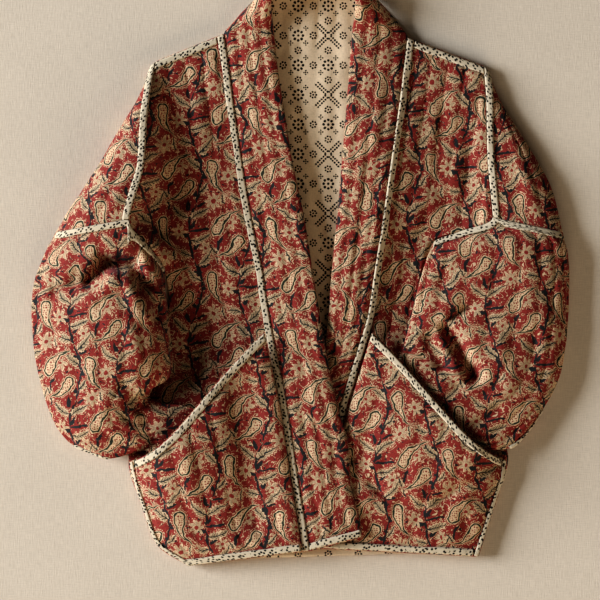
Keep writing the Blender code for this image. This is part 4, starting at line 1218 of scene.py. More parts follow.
class Nodes:
    """Adds nodes to one tree. What is fed to a socket is a value or another node's output."""

    def __init__(self, tree):
        self.tree = tree

    def feed(self, socket, value):
        if isinstance(value, bpy.types.NodeSocket):
            self.tree.links.new(value, socket)
        else:
            socket.default_value = value

    def add(self, kind, named=None, **settings):
        node = self.tree.nodes.new(kind)
        for setting, value in settings.items():
            setattr(node, setting, value)
        for name, value in (named or {}).items():
            self.feed(node.inputs[name], value)
        return node

    def math(self, operation, *values, clamp=False):
        node = self.add("ShaderNodeMath", operation=operation, use_clamp=clamp)
        for socket, value in zip(node.inputs, values):
            self.feed(socket, value)
        return node.outputs[0]

    def vector(self, operation, *values, result="Vector"):
        node = self.add("ShaderNodeVectorMath", operation=operation)
        for socket, value in zip(node.inputs, values):
            self.feed(socket, value)
        return node.outputs[result]

    def scaled(self, vector, factor):
        node = self.add("ShaderNodeVectorMath", {"Scale": factor}, operation="SCALE")
        self.feed(node.inputs[0], vector)
        return node.outputs[0]

    def combine(self, x, y):
        return self.add("ShaderNodeCombineXYZ", {"X": x, "Y": y}).outputs[0]

    def separate(self, vector):
        node = self.add("ShaderNodeSeparateXYZ", {"Vector": vector})
        return node.outputs["X"], node.outputs["Y"]

    def most(self, values):
        result = values[0]
        for value in values[1:]:
            result = self.math("MAXIMUM", result, value)
        return result

    def step(self, value, low, high):
        """0 below low, 1 above high, and a soft step between."""
        named = {"Value": value, "From Min": low, "From Max": high}
        return self.add("ShaderNodeMapRange", named, interpolation_type="SMOOTHSTEP").outputs[0]

    def band(self, value, low, high, soft):
        """1 between low and high."""
        rising = self.step(value, low - soft, low + soft)
        falling = self.step(value, high + soft, high - soft)
        return self.math("MULTIPLY", rising, falling)

    def mix(self, factor, first, second):
        node = self.add("ShaderNodeMix", {"Factor": factor}, data_type="RGBA")
        self.feed(node.inputs[MIX_FIRST], first)
        self.feed(node.inputs[MIX_SECOND], second)
        return node.outputs[MIX_RESULT]

    def noise(self, vector, scale, detail=1.0):
        named = {"Vector": vector, "Scale": scale, "Detail": detail}
        return self.add("ShaderNodeTexNoise", named, noise_dimensions="2D").outputs[0]

    def patches(self, vector, patch):
        """1 in soft patches of a noise."""
        return self.step(self.noise(vector, patch.scale), patch.low, patch.high)

    def specks(self, vector, patch):
        """1 in round specks."""
        named = {"Vector": vector, "Scale": patch.scale, "Randomness": patch.spread}
        cells = self.add("ShaderNodeTexVoronoi", named, voronoi_dimensions="2D").outputs["Distance"]
        return self.step(cells, patch.low, patch.high)

    def shaken(self, vector, shake):
        """Places moved about a little, as on cloth printed by hand."""
        named = {"Vector": vector, "Scale": shake.scale, "Detail": shake.detail}
        noise = self.add("ShaderNodeTexNoise", named).outputs["Color"]
        centred = self.vector("SUBTRACT", noise, NOISE_MIDDLE)
        return self.vector("MULTIPLY_ADD", centred, (shake.reach, shake.reach, 0.0), vector)

    def rough(self, vector, rough):
        """A fine noise about 0."""
        noise = self.noise(vector, rough.scale, rough.detail)
        return self.math("MULTIPLY_ADD", noise, rough.spread, -rough.spread / 2)

    def faded(self, colour, vector, fade):
        """A colour that is lighter and darker in places."""
        noise = self.noise(vector, fade.scale, fade.detail)
        return self.scaled(colour, self.math("MULTIPLY_ADD", noise, fade.spread, fade.start))

    def group(self, tree, named):
        node = self.add("ShaderNodeGroup", node_tree=tree)
        for name, value in named.items():
            self.feed(node.inputs[name], value)
        return node.outputs


def new_group(name, inputs, outputs):
    """A node group with these sockets, its nodes, the outputs of its group input, and its group output."""
    tree = bpy.data.node_groups.new(name, "ShaderNodeTree")
    for socket, kind in inputs:
        tree.interface.new_socket(socket, in_out="INPUT", socket_type=kind)
    for socket, kind in outputs:
        tree.interface.new_socket(socket, in_out="OUTPUT", socket_type=kind)
    nodes = Nodes(tree)
    entry = nodes.add("NodeGroupInput")
    return tree, nodes, entry.outputs, nodes.add("NodeGroupOutput").inputs


def stroke_group():
    """A bent, tapered stroke: how far a point lies inside it, from its spine, and along it."""
    values = ("Length", "Bend", "Curl", "Radius", "Peak", "Taper")
    inputs = [("Place", VECTOR)] + [(name, VALUE) for name in values]
    outputs = [("Inside", VALUE), ("Spine", VALUE), ("Along", VALUE)]
    tree, nodes, given, result = new_group("printed_stroke", inputs, outputs)
    x, y = nodes.separate(given["Place"])
    t = nodes.math("DIVIDE", x, given["Length"], clamp=True)
    dx = nodes.math("SUBTRACT", x, nodes.math("MULTIPLY", t, given["Length"]))
    bend = nodes.math("MULTIPLY", nodes.math("POWER", t, given["Curl"]), given["Bend"])
    dy = nodes.math("SUBTRACT", y, bend)
    away = nodes.vector("LENGTH", nodes.combine(dx, dy), result="Value")
    past = nodes.math("SUBTRACT", t, given["Peak"])
    after = nodes.math("DIVIDE", past, nodes.math("SUBTRACT", 1.0, given["Peak"]))
    before = nodes.math("DIVIDE", nodes.math("MULTIPLY", past, -1.0), given["Peak"])
    far = nodes.math("POWER", nodes.math("MAXIMUM", after, before), given["Taper"])
    half = nodes.math("MULTIPLY", given["Radius"], nodes.math("SUBTRACT", 1.0, far))
    nodes.feed(result["Inside"], nodes.math("SUBTRACT", half, away))
    nodes.feed(result["Spine"], nodes.math("ABSOLUTE", dy))
    nodes.feed(result["Along"], nodes.math("MULTIPLY", t, given["Length"]))
    return tree


def motif_place(nodes, lattice, motif, angle):
    """Places in millimetres from a motif's own point, turned to its own direction, in the nearest repeat."""
    row = motif.y / PRINT_HEIGHT - motif.x / (2 * PRINT_WIDTH)
    offset = nodes.vector("SUBTRACT", lattice, (motif.x / PRINT_WIDTH, row, 0.0))
    near = nodes.vector("WRAP", offset, (0.5, 0.5, 0.5), (-0.5, -0.5, -0.5))
    c, s = np.cos(np.radians(angle)), np.sin(np.radians(angle))
    half = PRINT_HEIGHT / 2
    along_row = (PRINT_WIDTH * c + half * s, PRINT_HEIGHT * s, 0.0)
    across_row = (-PRINT_WIDTH * s + half * c, PRINT_HEIGHT * c, 0.0)
    x = nodes.vector("DOT_PRODUCT", near, along_row, result="Value")
    y = nodes.vector("DOT_PRODUCT", near, across_row, result="Value")
    return nodes.combine(x, y)


def stroke(nodes, tree, lattice, motif, form):
    """How far a point lies inside a stroke of the print, from its spine, and along it."""
    named = {
        "Place": motif_place(nodes, lattice, motif, motif.angle),
        "Length": float(motif.length),
        "Bend": float(motif.bend),
        "Radius": float(motif.radius),
        "Curl": form.curl,
        "Peak": form.peak,
        "Taper": form.taper,
    }
    return nodes.group(tree, named)


def leaf_fields(nodes, tree, lattice, leaf):
    """How far a point lies inside a toothed leaf, its rib and its veins."""
    drawn = stroke(nodes, tree, lattice, leaf, LEAF_FORM)
    inside, spine, reach = drawn["Inside"], drawn["Spine"], drawn["Along"]
    tooth = nodes.math("ABSOLUTE", nodes.math("SINE", nodes.math("MULTIPLY", reach, np.pi / TOOTH)))
    blade = nodes.math("MULTIPLY_ADD", tooth, -TOOTH_DEPTH, inside)
    inner = nodes.math("SUBTRACT", inside, RIB_INSET)
    rib = nodes.math("MINIMUM", inner, nodes.math("SUBTRACT", RIB, spine))
    slant = nodes.math("MULTIPLY_ADD", spine, -VEIN_SLANT, reach)
    wave = nodes.math("SINE", nodes.math("MULTIPLY", slant, 2 * np.pi / VEIN_STEP))
    vein = nodes.math("MINIMUM", wave, nodes.math("SUBTRACT", inside, VEIN_INSET))
    return {"leaf": blade, "rib": rib, "vein": vein}


def flower_fields(nodes, lattice, flower):
    """How far a point lies inside a flower of narrow petals and inside its heart."""
    place = motif_place(nodes, lattice, flower, 0.0)
    x, y = nodes.separate(place)
    away = nodes.vector("LENGTH", place, result="Value")
    turn = nodes.math("MULTIPLY", nodes.math("ARCTAN2", y, x), flower.petals / 2)
    petal = nodes.math("POWER", nodes.math("ABSOLUTE", nodes.math("COSINE", turn)), PETAL_ROUND)
    tip, root = flower.radius * PETAL_SHARE, flower.radius * (1 - PETAL_SHARE)
    reach = nodes.math("MULTIPLY_ADD", petal, tip, root)
    heart = nodes.math("SUBTRACT", flower.radius * HEART_SHARE, away)
    return {"flower": nodes.math("SUBTRACT", reach, away), "heart": heart}


def motif_fields(nodes, lattice, rough):
    """How far a point lies inside the nearest motif of each kind, with rough edges."""
    tree = stroke_group()
    found = [leaf_fields(nodes, tree, lattice, leaf) for leaf in LEAVES]
    found += [flower_fields(nodes, lattice, flower) for flower in FLOWERS]
    plain = (("stem", STEMS, STEM_FORM), ("sprig", SPRIGS, LEAF_FORM), ("paisley", PAISLEYS, PAISLEY_FORM))
    for kind, motifs, form in plain:
        found += [{kind: stroke(nodes, tree, lattice, motif, form)["Inside"]} for motif in motifs]
    fields = {}
    for kind, share in EDGE_ROUGHNESS.items():
        nearest = nodes.most([field[kind] for field in found if kind in field])
        fields[kind] = nodes.math("MULTIPLY_ADD", rough, share, nearest)
    return fields


def printed(nodes, colour, layers, fields, colours):
    """A colour with layers of motifs printed over it, in order."""
    for layer in layers:
        mask = nodes.step(fields[layer.kind], layer.low, layer.high)
        if layer.strength < 1:
            mask = nodes.math("MULTIPLY", mask, layer.strength)
        colour = nodes.mix(mask, colour, colours[layer.colour])
    return colour


def block_print_group():
    """Paisleys, leaves, sprigs, flowers and stems on a ground with cream curls."""
    inputs = [("Place", VECTOR)] + [(name, COLOUR) for name in ("Ground", "Petal", "Ink", "Leaf")]
    tree, nodes, given, result = new_group("block_print", inputs, [("Color", COLOUR)])
    flat = nodes.scaled(given["Place"], 1 / MM)
    drawn = nodes.shaken(flat, BLOCK_SHAKE)
    x, y = nodes.separate(drawn)
    column = nodes.math("DIVIDE", x, PRINT_WIDTH)
    drop = nodes.math("MULTIPLY", column, 0.5)
    row = nodes.math("SUBTRACT", nodes.math("DIVIDE", y, PRINT_HEIGHT), drop)
    fields = motif_fields(nodes, nodes.combine(column, row), nodes.rough(flat, BLOCK_ROUGH))

    # The ground: cream curls, a few dark dabs, and rows of short dashes round the motifs.
    ground, petal = given["Ground"], given["Petal"]
    curls = nodes.band(nodes.noise(drawn, CURLS.scale), CURLS.low, CURLS.high, CURL_SOFT)
    curls = nodes.math("MULTIPLY", curls, nodes.patches(drawn, CURL_GROUPS))
    colour = nodes.mix(curls, ground, petal)
    colour = nodes.mix(nodes.patches(drawn, DABS), colour, given["Ink"])
    near = nodes.most([fields["leaf"], fields["flower"], fields["paisley"]])
    colour = nodes.mix(nodes.step(near, *HALO_CLEAR), colour, ground)
    dashes = nodes.specks(drawn, DASHES)
    halo = nodes.math("MULTIPLY", nodes.band(near, *HALO, HALO_SOFT), dashes)
    colour = nodes.mix(halo, colour, petal)
    colour = printed(nodes, colour, MOTIF_LAYERS, fields, given)

    # Paisleys lie over all else, with a halo and a dotted core of their own.
    paisley = fields["paisley"]
    halo = nodes.math("MULTIPLY", nodes.band(paisley, *PAISLEY_HALO, HALO_SOFT), dashes)
    colour = nodes.mix(halo, colour, petal)
    colour = printed(nodes, colour, PAISLEY_LAYERS, fields, given)
    dots = nodes.math("MULTIPLY", nodes.specks(drawn, PAISLEY_DOTS), nodes.step(paisley, *PAISLEY_CORE))
    colour = nodes.mix(dots, colour, ground)
    nodes.feed(result["Color"], nodes.faded(colour, flat, BLOCK_FADE))
    return tree


def wrapped(nodes, place, size, centre=(0.0, 0.0)):
    """Places from the nearest point of a lattice."""
    offset = nodes.vector("SUBTRACT", place, (centre[0], centre[1], 0.0))
    half = (size[0] / 2, size[1] / 2, 0.5)
    return nodes.vector("WRAP", offset, half, tuple(-x for x in half))


def rosette(nodes, place, petals, radius, dot):
    """How far a point lies inside the dots of a ring of dots with one in its middle."""
    x, y = nodes.separate(place)
    away = nodes.vector("LENGTH", place, result="Value")
    sector = 2 * np.pi / petals
    turn = nodes.math("WRAP", nodes.math("ARCTAN2", y, x), sector / 2, -sector / 2)
    dx = nodes.math("SUBTRACT", nodes.math("MULTIPLY", away, nodes.math("COSINE", turn)), radius)
    dy = nodes.math("MULTIPLY", away, nodes.math("SINE", turn))
    outside = nodes.vector("LENGTH", nodes.combine(dx, dy), result="Value")
    ring = nodes.math("SUBTRACT", dot, outside)
    return nodes.math("MAXIMUM", ring, nodes.math("SUBTRACT", dot * MIDDLE_DOT, away))


def dotted_print_group():
    """Rosettes and crosses of near-black dots on cream."""
    inputs = [("Place", VECTOR), ("Ground", COLOUR), ("Dot", COLOUR)]
    tree, nodes, given, result = new_group("dotted_print", inputs, [("Color", COLOUR)])
    flat = nodes.scaled(given["Place"], 1 / MM)
    drawn = nodes.shaken(flat, DOTTED_SHAKE)
    rough = nodes.rough(flat, DOTTED_ROUGH)
    step_x, step_y = ROSETTE_STEP
    double = (2 * step_x, 2 * step_y)
    crosses = wrapped(nodes, drawn, double)
    x, y = nodes.separate(nodes.vector("ABSOLUTE", crosses))
    reach = nodes.math("MULTIPLY", nodes.math("ADD", x, y), np.sqrt(0.5))
    side = nodes.math("ABSOLUTE", nodes.math("MULTIPLY", nodes.math("SUBTRACT", x, y), np.sqrt(0.5)))
    half = CROSS_DOT_STEP / 2
    dx = nodes.math("WRAP", reach, half, -half)
    dy = nodes.math("SUBTRACT", side, CROSS_ROW)
    cross = nodes.math("SUBTRACT", CROSS_DOT, nodes.vector("LENGTH", nodes.combine(dx, dy), result="Value"))
    cross = nodes.math("MINIMUM", cross, nodes.math("SUBTRACT", CROSS_REACH, reach))
    big = [
        rosette(nodes, wrapped(nodes, drawn, double, centre), *BIG_ROSETTE)
        for centre in ((step_x, 0.0), (0.0, step_y), (step_x, step_y))
    ]
    small = [
        rosette(nodes, wrapped(nodes, drawn, ROSETTE_STEP, centre), *SMALL_ROSETTE)
        for centre in ((step_x / 2, 0.0), (0.0, step_y / 2))
    ]
    half_step = (step_x / 2, step_y / 2)
    tiny = rosette(nodes, wrapped(nodes, drawn, half_step, (step_x / 4, step_y / 4)), *TINY_ROSETTE)
    away = nodes.vector("LENGTH", crosses, result="Value")
    tiny = nodes.math("MINIMUM", tiny, nodes.math("SUBTRACT", away, CROSS_CLEAR))
    dots = nodes.math("MULTIPLY_ADD", rough, DOT_ROUGHNESS, nodes.most(big + small + [cross, tiny]))
    colour = nodes.mix(nodes.step(dots, -DOT_EDGE, DOT_EDGE), given["Ground"], given["Dot"])
    nodes.feed(result["Color"], nodes.faded(colour, flat, DOTTED_FADE))
    return tree


def weave_group():
    """Warp and weft threads: a shade that varies about 1, and a height."""
    inputs = [("Place", VECTOR), ("Thread", VALUE), ("Depth", VALUE)]
    outputs = [("Shade", VALUE), ("Height", VALUE)]
    tree, nodes, given, result = new_group("weave", inputs, outputs)
    flat = nodes.scaled(given["Place"], nodes.math("DIVIDE", 1.0, given["Thread"]))
    warp = nodes.noise(nodes.vector("MULTIPLY", flat, (1.0, THREAD_STRETCH, 0.0)), 1.0)
    weft = nodes.noise(nodes.vector("MULTIPLY", flat, (THREAD_STRETCH, 1.0, 0.0)), 1.0)
    both = nodes.math("MULTIPLY_ADD", nodes.math("ADD", warp, weft), 0.5, -0.5)
    nodes.feed(result["Shade"], nodes.math("MULTIPLY_ADD", both, given["Depth"], 1.0))
    nodes.feed(result["Height"], both)
    return tree


def shared(name, make):
    """A node group made once and used by several materials."""
    return bpy.data.node_groups.get(name) or make()


def cloth_material(name, look):
    """A cotton or linen: the colour that its look gives at each place, over a fine weave."""
    material = bpy.data.materials.new(name)
    material.use_nodes = True
    nodes = Nodes(material.node_tree)
    shader = material.node_tree.nodes["Principled BSDF"].inputs
    where = look.place(nodes)
    named = {"Place": where, "Thread": look.thread, "Depth": look.depth}
    weave = nodes.group(shared("weave", weave_group), named)
    nodes.feed(shader["Base Color"], nodes.scaled(look.colour(nodes, where), weave["Shade"]))
    named = {"Height": weave["Height"], "Strength": look.bump, "Distance": look.thread}
    nodes.feed(shader["Normal"], nodes.add("ShaderNodeBump", named).outputs[0])
    shader["Roughness"].default_value = look.roughness
    shader["Specular IOR Level"].default_value = CLOTH_SPECULAR
    shader["Sheen Weight"].default_value = look.sheen
    shader["Sheen Roughness"].default_value = CLOTH_SHEEN_ROUGHNESS
    return material


def uv_place(nodes):
    return nodes.add("ShaderNodeUVMap", uv_map=UV_NAME).outputs[0]


def object_place(nodes):
    return nodes.add("ShaderNodeTexCoord").outputs["Object"]


def opaque(colour):
    return (*colour, 1.0)


def quilted_colour(nodes, where):
    colours = bpy.context.scene.jacket_print
    named = {
        "Place": where,
        "Ground": opaque(colours.ground),
        "Petal": opaque(colours.petal),
        "Ink": opaque(colours.ink),
        "Leaf": opaque(colours.leaf),
    }
    return nodes.group(shared("block_print", block_print_group), named)[0]


def binding_colour(nodes, where):
    """Cream with clusters of near-black dots."""
    colours = bpy.context.scene.jacket_print
    flat = nodes.scaled(where, 1 / MM)
    ink = nodes.math("MULTIPLY", nodes.specks(flat, BINDING_DOTS), nodes.patches(flat, BINDING_CLUSTERS))
    return nodes.mix(ink, opaque(colours.binding), opaque(colours.dot))


def lining_colour(nodes, where):
    colours = bpy.context.scene.jacket_print
    named = {"Place": where, "Ground": opaque(colours.lining), "Dot": opaque(colours.dot)}
    return nodes.group(shared("dotted_print", dotted_print_group), named)[0]


def plain_colour(colour):
    def varied(nodes, where):
        return nodes.faded(tuple(colour), where, PLAIN_FADE)

    return varied


def cloth_looks():
    """What each cloth's material is made from. A thread's width is in metres."""
    thread = plain_colour(bpy.context.scene.jacket_print.thread)
    linen = plain_colour(bpy.context.scene.jacket_stage.floor)
    cotton = Look(
        place=uv_place,
        thread=0.0007,
        depth=0.35,
        bump=0.35,
        roughness=0.85,
        sheen=0.08,
        colour=quilted_colour,
    )
    plain = cotton._replace(place=object_place, sheen=0.05)
    return {
        "quilted_cotton": cotton,
        "bias_binding": cotton._replace(thread=0.0006, depth=0.3, colour=binding_colour),
        "lining_cotton": cotton._replace(roughness=0.88, colour=lining_colour),
        "quilting_thread": plain._replace(thread=0.0004, depth=0.4, bump=0.2, roughness=0.7, colour=thread),
        "linen_floor": plain._replace(thread=0.0011, bump=0.3, roughness=0.92, colour=linen),
    }


def material_of(name):
    return bpy.data.materials.get(name) or cloth_material(name, cloth_looks()[name])


def place_piece(piece, node):
    """Joins a piece to the jacket's one body, in the place of its solid."""
    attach(piece, BODY)
    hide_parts(node)


def panel_piece(node, cloth, ring=False, slot="quilted_print"):
    """A sewn panel of printed cloth with a lining inside."""
    outside = "lining_cotton" if slot == "lining_print" else "quilted_cotton"
    materials = [material_of(outside), material_of("lining_cotton")]
    piece = add_wall(f"{node}_cloth", cloth, print_shift(SEEDS[node]), materials, ring)
    place_piece(piece, node)
    return piece


def binding_piece(node, grid, normals, seed, width=BINDING, rise=1.0):
    """A binding along the first row of a grid; rise is its share of the full rise."""
    full = bpy.context.scene.jacket_cloth.binding_rise / MM
    cotton = material_of("bias_binding")
    piece = add_strip(f"{node}_strip", grid, normals, width * BINDING_SHOWN, full * rise, seed, cotton)
    place_piece(piece, node)


def turned_over(grid):
    """A grid with its columns as rows."""
    return np.swapaxes(grid, 0, 1)


def make_front_bindings(side, seed):
    front = front_cloth(side)
    outer, normals = front.outer, front.normals
    binding_piece(f"band_binding_{side}", turned_over(outer), turned_over(normals), seed)
    over = slice(int(np.argmax(front.u[-1] >= BINDING)), None)
    binding_piece(f"shoulder_binding_{side}", outer[::-1, over], normals[::-1, over], seed + 1)


def make_arm_bindings(side, seed):
    shoulder, top = shoulder_cloth(side)
    over = slice(None, top)
    outer, normals = turned_over(shoulder.outer[:, over]), turned_over(shoulder.normals[:, over])
    binding_piece(f"armhole_binding_{side}", outer, normals, seed)
    sleeve, places = sleeve_cloth(side)
    outer, normals = sleeve.outer[:, SLEEVE_BOUND], sleeve.normals[:, SLEEVE_BOUND]
    binding_piece(f"sleeve_binding_{side}", outer, normals, seed + 1)
    first, last = np.searchsorted(places, UNDER_SEAM_RINGS[side])
    beside = slice(None, SLEEVE_TOP // 2)
    outer, normals = sleeve.outer[first:last, beside], sleeve.normals[first:last, beside]
    outer, normals = turned_over(outer), turned_over(normals)
    node = f"under_seam_binding_{side}"
    binding_piece(node, outer, normals, seed + 2, UNDER_SEAM_BINDING, UNDER_SEAM_SHARE)


def make_pocket_bindings(side, seed):
    pocket = pocket_cloth(side)
    outer, normals = pocket.outer, pocket.normals
    inside = slice(None, int(np.argmax(pocket.u[0] >= pocket.u[0, -1] - SIDE_BINDING)))
    binding_piece(f"pocket_binding_{side}", outer[::-1, inside], normals[::-1, inside], seed)
    binding_piece(f"hem_binding_{side}", outer[:, inside], normals[:, inside], seed + 1)
    outer, normals = turned_over(outer[:, ::-1]), turned_over(normals[:, ::-1])
    binding_piece(f"side_binding_{side}", outer, normals, seed + 2, SIDE_BINDING)


def sewn_lines(cloth):
    """Lines of points on a cloth where its channels meet, each from one row to the next."""
    lines = []
    columns = np.arange(cloth.place.shape[1])
    known = ~np.isnan(cloth.place[0])
    for line in range(1, int(np.nanmax(cloth.place)) + 1):
        run = []
        for row, place in enumerate(cloth.place):
            inside = place[known][0] + SEWN_MARGIN < line < place[known][-1] - SEWN_MARGIN
            if inside:
                column = np.interp(line, place[known], columns[known])
                low = int(column)
                share = column - low
                pair = cloth.outer[row, [low, low + 1]]
                run.append(pair[0] * (1 - share) + pair[1] * share)
            if run and (not inside or row == len(cloth.place) - 1):
                lines.append(np.array(run[SEWN_ENDS:-SEWN_ENDS]))
                run = []
    return [line for line in lines if len(line) > 1]


def stitch_tree():
    """Stitches laid end to end along the edges of a mesh."""
    tree = bpy.data.node_groups.new("quilting_stitches", "GeometryNodeTree")
    for name, kind in (
        ("Lines", "NodeSocketGeometry"),
        ("Spacing", VALUE),
        ("Length", VALUE),
        ("Thickness", VALUE),
        ("Material", "NodeSocketMaterial"),
    ):
        tree.interface.new_socket(name, in_out="INPUT", socket_type=kind)
    tree.interface.new_socket("Stitches", in_out="OUTPUT", socket_type="NodeSocketGeometry")
    nodes = Nodes(tree)
    given = nodes.add("NodeGroupInput").outputs
    curve = nodes.add("GeometryNodeMeshToCurve", {"Mesh": given["Lines"]}).outputs[0]
    resampled = nodes.add("GeometryNodeResampleCurve", mode="LENGTH")
    nodes.feed(resampled.inputs["Curve"], curve)
    nodes.feed(resampled.inputs["Length"], given["Spacing"])
    sphere = {"Segments": STITCH_SEGMENTS, "Rings": STITCH_RINGS, "Radius": STITCH_RADIUS}
    stitch = nodes.add("GeometryNodeMeshUVSphere", sphere).outputs["Mesh"]
    tangent = nodes.add("GeometryNodeInputTangent").outputs[0]
    turn = nodes.add("FunctionNodeAlignRotationToVector", {"Vector": tangent}, axis="X").outputs[0]
    size = nodes.add("ShaderNodeCombineXYZ")
    nodes.feed(size.inputs["X"], given["Length"])
    nodes.feed(size.inputs["Y"], given["Thickness"])
    nodes.feed(size.inputs["Z"], given["Thickness"])
    named = {"Points": resampled.outputs[0], "Instance": stitch, "Rotation": turn, "Scale": size.outputs[0]}
    placed = nodes.add("GeometryNodeInstanceOnPoints", named).outputs[0]
    real = nodes.add("GeometryNodeRealizeInstances", {"Geometry": placed}).outputs[0]
    named = {"Geometry": real, "Material": given["Material"]}
    done = nodes.add("GeometryNodeSetMaterial", named).outputs[0]
    nodes.feed(nodes.add("NodeGroupOutput").inputs[0], done)
    return tree


def quilted_cloths():
    cloths = [band_cloth()]
    for side in SIDES:
        cloths += [front_cloth(side), pocket_cloth(side), shoulder_cloth(side)[0], sleeve_cloth(side)[0]]
    return cloths


def make_stitches():
    """The quilting stitches of every panel, as one piece."""
    lines = [line for cloth in quilted_cloths() for line in sewn_lines(cloth)]
    edges, count = [], 0
    for line in lines:
        edges += [(count + k, count + k + 1) for k in range(len(line) - 1)]
        count += len(line)
    mesh = bpy.data.meshes.new("sewn_lines")
    mesh.from_pydata((np.concatenate(lines) * MM).tolist(), edges, [])
    guide = bpy.data.objects.new("sewn_lines", mesh)
    bpy.context.scene.collection.objects.link(guide)
    sizes = bpy.context.scene.jacket_cloth
    values = {
        "Spacing": sizes.stitch_spacing,
        "Length": sizes.stitch_length,
        "Thickness": sizes.stitch_thickness,
        "Material": material_of("quilting_thread"),
    }
    modifier = guide.modifiers.new("Stitches", "NODES")
    modifier.node_group = stitch_tree()
    for item in modifier.node_group.interface.items_tree:
        if item.in_out == "INPUT" and item.name in values:
            modifier[item.identifier] = values[item.name]
    graph = bpy.context.evaluated_depsgraph_get()
    sewn = bpy.data.meshes.new_from_object(guide.evaluated_get(graph))
    bpy.data.objects.remove(guide, do_unlink=True)
    bpy.data.meshes.remove(mesh)
    sewn.name = "quilting_stitches"
    sewn.shade_smooth()
    piece = bpy.data.objects.new("quilting_stitches", sewn)
    bpy.context.scene.collection.objects.link(piece)
    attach(piece, BODY)
    return piece


def add_floor(scene):
    mesh = bpy.data.meshes.new("floor")
    edge = FLOOR_SIZE / 2
    square = [(-edge, -edge), (edge, -edge), (edge, edge), (-edge, edge)]
    mesh.from_pydata([(x, y, FLOOR_LEVEL) for x, y in square], [], [(0, 1, 2, 3)])
    mesh.materials.append(material_of("linen_floor"))
    floor = bpy.data.objects.new("floor", mesh)
    scene.collection.objects.link(floor)


def add_light(scene, name, colour):
    """A square light that faces the jacket's middle."""
    parts = ("strength", "turn", "height", "distance", "size")
    strength, turn, height, distance, size = (getattr(scene.jacket_stage, f"{name}_{part}") for part in parts)
    lamp = bpy.data.lights.new(name, "AREA")
    lamp.energy = strength
    lamp.color = colour
    lamp.size = size
    light = bpy.data.objects.new(name, lamp)
    flat = np.cos(height)
    reach = np.array((np.cos(turn) * flat, np.sin(turn) * flat, np.sin(height)))
    light.location = reach * distance
    light.rotation_euler = (np.pi / 2 - height, 0.0, turn + np.pi / 2)
    scene.collection.objects.link(light)


def add_world(scene):
    """A weak light from all round, and the tones in which the picture is shown."""
    world = bpy.data.worlds.new("studio")
    world.use_nodes = True
    background = world.node_tree.nodes["Background"].inputs
    background["Strength"].default_value = scene.jacket_stage.fill
    background["Color"].default_value = opaque(FILL_COLOUR)
    scene.world = world
    view = scene.view_settings
    view.view_transform = "Standard"
    view.use_curve_mapping = True
    for tone, shown in SHADE_TONES:
        view.curve_mapping.curves[ALL_CHANNELS].points.new(tone, shown)
    view.curve_mapping.update()


def add_camera(scene):
    """A camera straight above the jacket."""
    stage = scene.jacket_stage
    lens = bpy.data.cameras.new("camera")
    lens.lens = lens.sensor_width * stage.camera_height / stage.view_width
    camera = bpy.data.objects.new("camera", lens)
    camera.location = (0.0, -stage.view_shift, stage.camera_height)
    scene.collection.objects.link(camera)
    scene.camera = camera


class JACKET_OT_bindings(bpy.types.Operator):
    """Adds the bindings over the seams and along the edges"""

    bl_idname = "jacket.bindings"
    bl_label = "Add Bindings"

    def execute(self, context):
        for number, side in enumerate(SIDES):
            seed = BINDING_SEED * (number + 1)
            make_front_bindings(side, seed)
            make_arm_bindings(side, seed + 2)
            make_pocket_bindings(side, seed + 5)
        band = band_cloth()
        binding_piece("hem_binding_band", band.outer, band.normals, BINDING_SEED * 3)
        return {"FINISHED"}


class JACKET_OT_back(bpy.types.Operator):
    """Adds the back and its lining"""

    bl_idname = "jacket.back"
    bl_label = "Add Back"

    def execute(self, context):
        panel_piece("back", flat_cloth("back", 0.0, BACK_WALL, 0.0))
        low = BACK_WALL + SEAM_GAP
        lining = flat_cloth("back_lining", low, low + LINING_WALL, LINING_INSET)
        panel_piece("back_lining", lining, slot="lining_print")
        return {"FINISHED"}


class JACKET_OT_fronts(bpy.types.Operator):
    """Adds the two fronts"""

    bl_idname = "jacket.fronts"
    bl_label = "Add Fronts"

    def execute(self, context):
        for side in SIDES:
            panel_piece(f"front_{side}", front_cloth(side))
        return {"FINISHED"}


class JACKET_OT_shoulders(bpy.types.Operator):
    """Adds the two dropped shoulder panels"""

    bl_idname = "jacket.shoulders"
    bl_label = "Add Shoulder Panels"

    def execute(self, context):
        for side in SIDES:
            cloth, _ = shoulder_cloth(side)
            panel_piece(f"shoulder_panel_{side}", cloth)
        return {"FINISHED"}


class JACKET_OT_sleeves(bpy.types.Operator):
    """Adds the two bent sleeves"""

    bl_idname = "jacket.sleeves"
    bl_label = "Add Sleeves"

    def execute(self, context):
        for side in SIDES:
            cloth, _ = sleeve_cloth(side)
            panel_piece(f"sleeve_{side}", cloth, ring=True)
        return {"FINISHED"}


class JACKET_OT_pockets(bpy.types.Operator):
    """Adds the two slanted pockets"""

    bl_idname = "jacket.pockets"
    bl_label = "Add Pockets"

    def execute(self, context):
        for side in SIDES:
            panel_piece(f"pocket_{side}", pocket_cloth(side))
        return {"FINISHED"}


class JACKET_OT_band(bpy.types.Operator):
    """Adds the neck band from hem to hem"""

    bl_idname = "jacket.neck_band"
    bl_label = "Add Neck Band"

    def execute(self, context):
        panel_piece("neck_band", band_cloth())
        return {"FINISHED"}


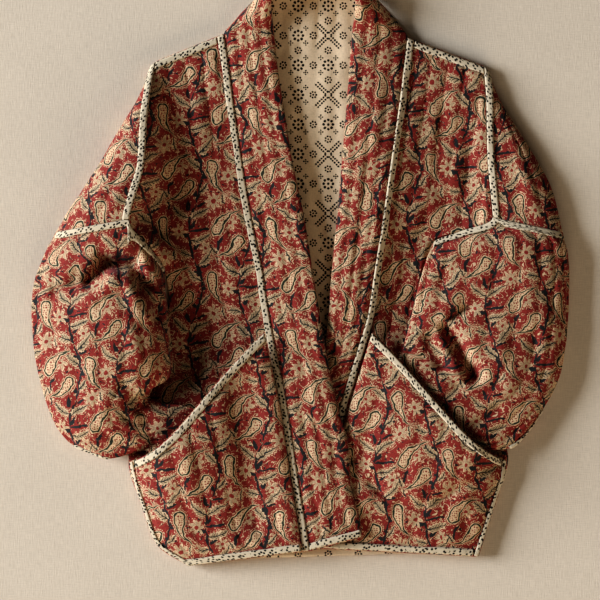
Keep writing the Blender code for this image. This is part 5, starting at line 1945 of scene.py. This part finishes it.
class JACKET_OT_stitches(bpy.types.Operator):
    """Adds the quilting stitches along every sewn line"""

    bl_idname = "jacket.stitches"
    bl_label = "Add Stitches"

    def execute(self, context):
        piece = make_stitches()
        if not piece.data.polygons:
            raise RuntimeError("The sewn lines gave no stitches.")
        return {"FINISHED"}


class JACKET_OT_stage(bpy.types.Operator):
    """Adds the floor, the lights and the camera"""

    bl_idname = "jacket.stage"
    bl_label = "Add Stage"

    def execute(self, context):
        scene = context.scene
        add_floor(scene)
        for name, colour in LIGHT_COLOURS.items():
            add_light(scene, name, colour)
        add_world(scene)
        add_camera(scene)
        return {"FINISHED"}


class JACKET_PT_panel(bpy.types.Panel):
    """Lists the jacket's settings and its steps in order"""

    bl_idname = "JACKET_PT_panel"
    bl_label = "Quilted Jacket"
    bl_space_type = "VIEW_3D"
    bl_region_type = "UI"
    bl_category = "Jacket"

    def draw(self, context):
        for group in GROUPS:
            box = self.layout.box()
            settings = getattr(context.scene, group)
            for name in settings.__annotations__:
                box.prop(settings, name)
        for step in STEPS:
            self.layout.operator(step.bl_idname)


# The settings on the scene, and the steps in the order in which they run.
GROUPS = {"jacket_cloth": JacketCloth, "jacket_print": JacketPrint, "jacket_stage": JacketStage}
STEPS = (
    JACKET_OT_bindings,
    JACKET_OT_back,
    JACKET_OT_fronts,
    JACKET_OT_shoulders,
    JACKET_OT_sleeves,
    JACKET_OT_pockets,
    JACKET_OT_band,
    JACKET_OT_stitches,
    JACKET_OT_stage,
)


def register():
    for item in (*GROUPS.values(), *STEPS, JACKET_PT_panel):
        bpy.utils.register_class(item)
    for name, group in GROUPS.items():
        setattr(bpy.types.Scene, name, PointerProperty(type=group))


def unregister():
    for name in GROUPS:
        delattr(bpy.types.Scene, name)
    for item in reversed((*GROUPS.values(), *STEPS, JACKET_PT_panel)):
        bpy.utils.unregister_class(item)


def main():
    register()
    for step in STEPS:
        family, name = step.bl_idname.split(".")
        getattr(getattr(bpy.ops, family), name)()


if __name__ == "__main__":
    main()
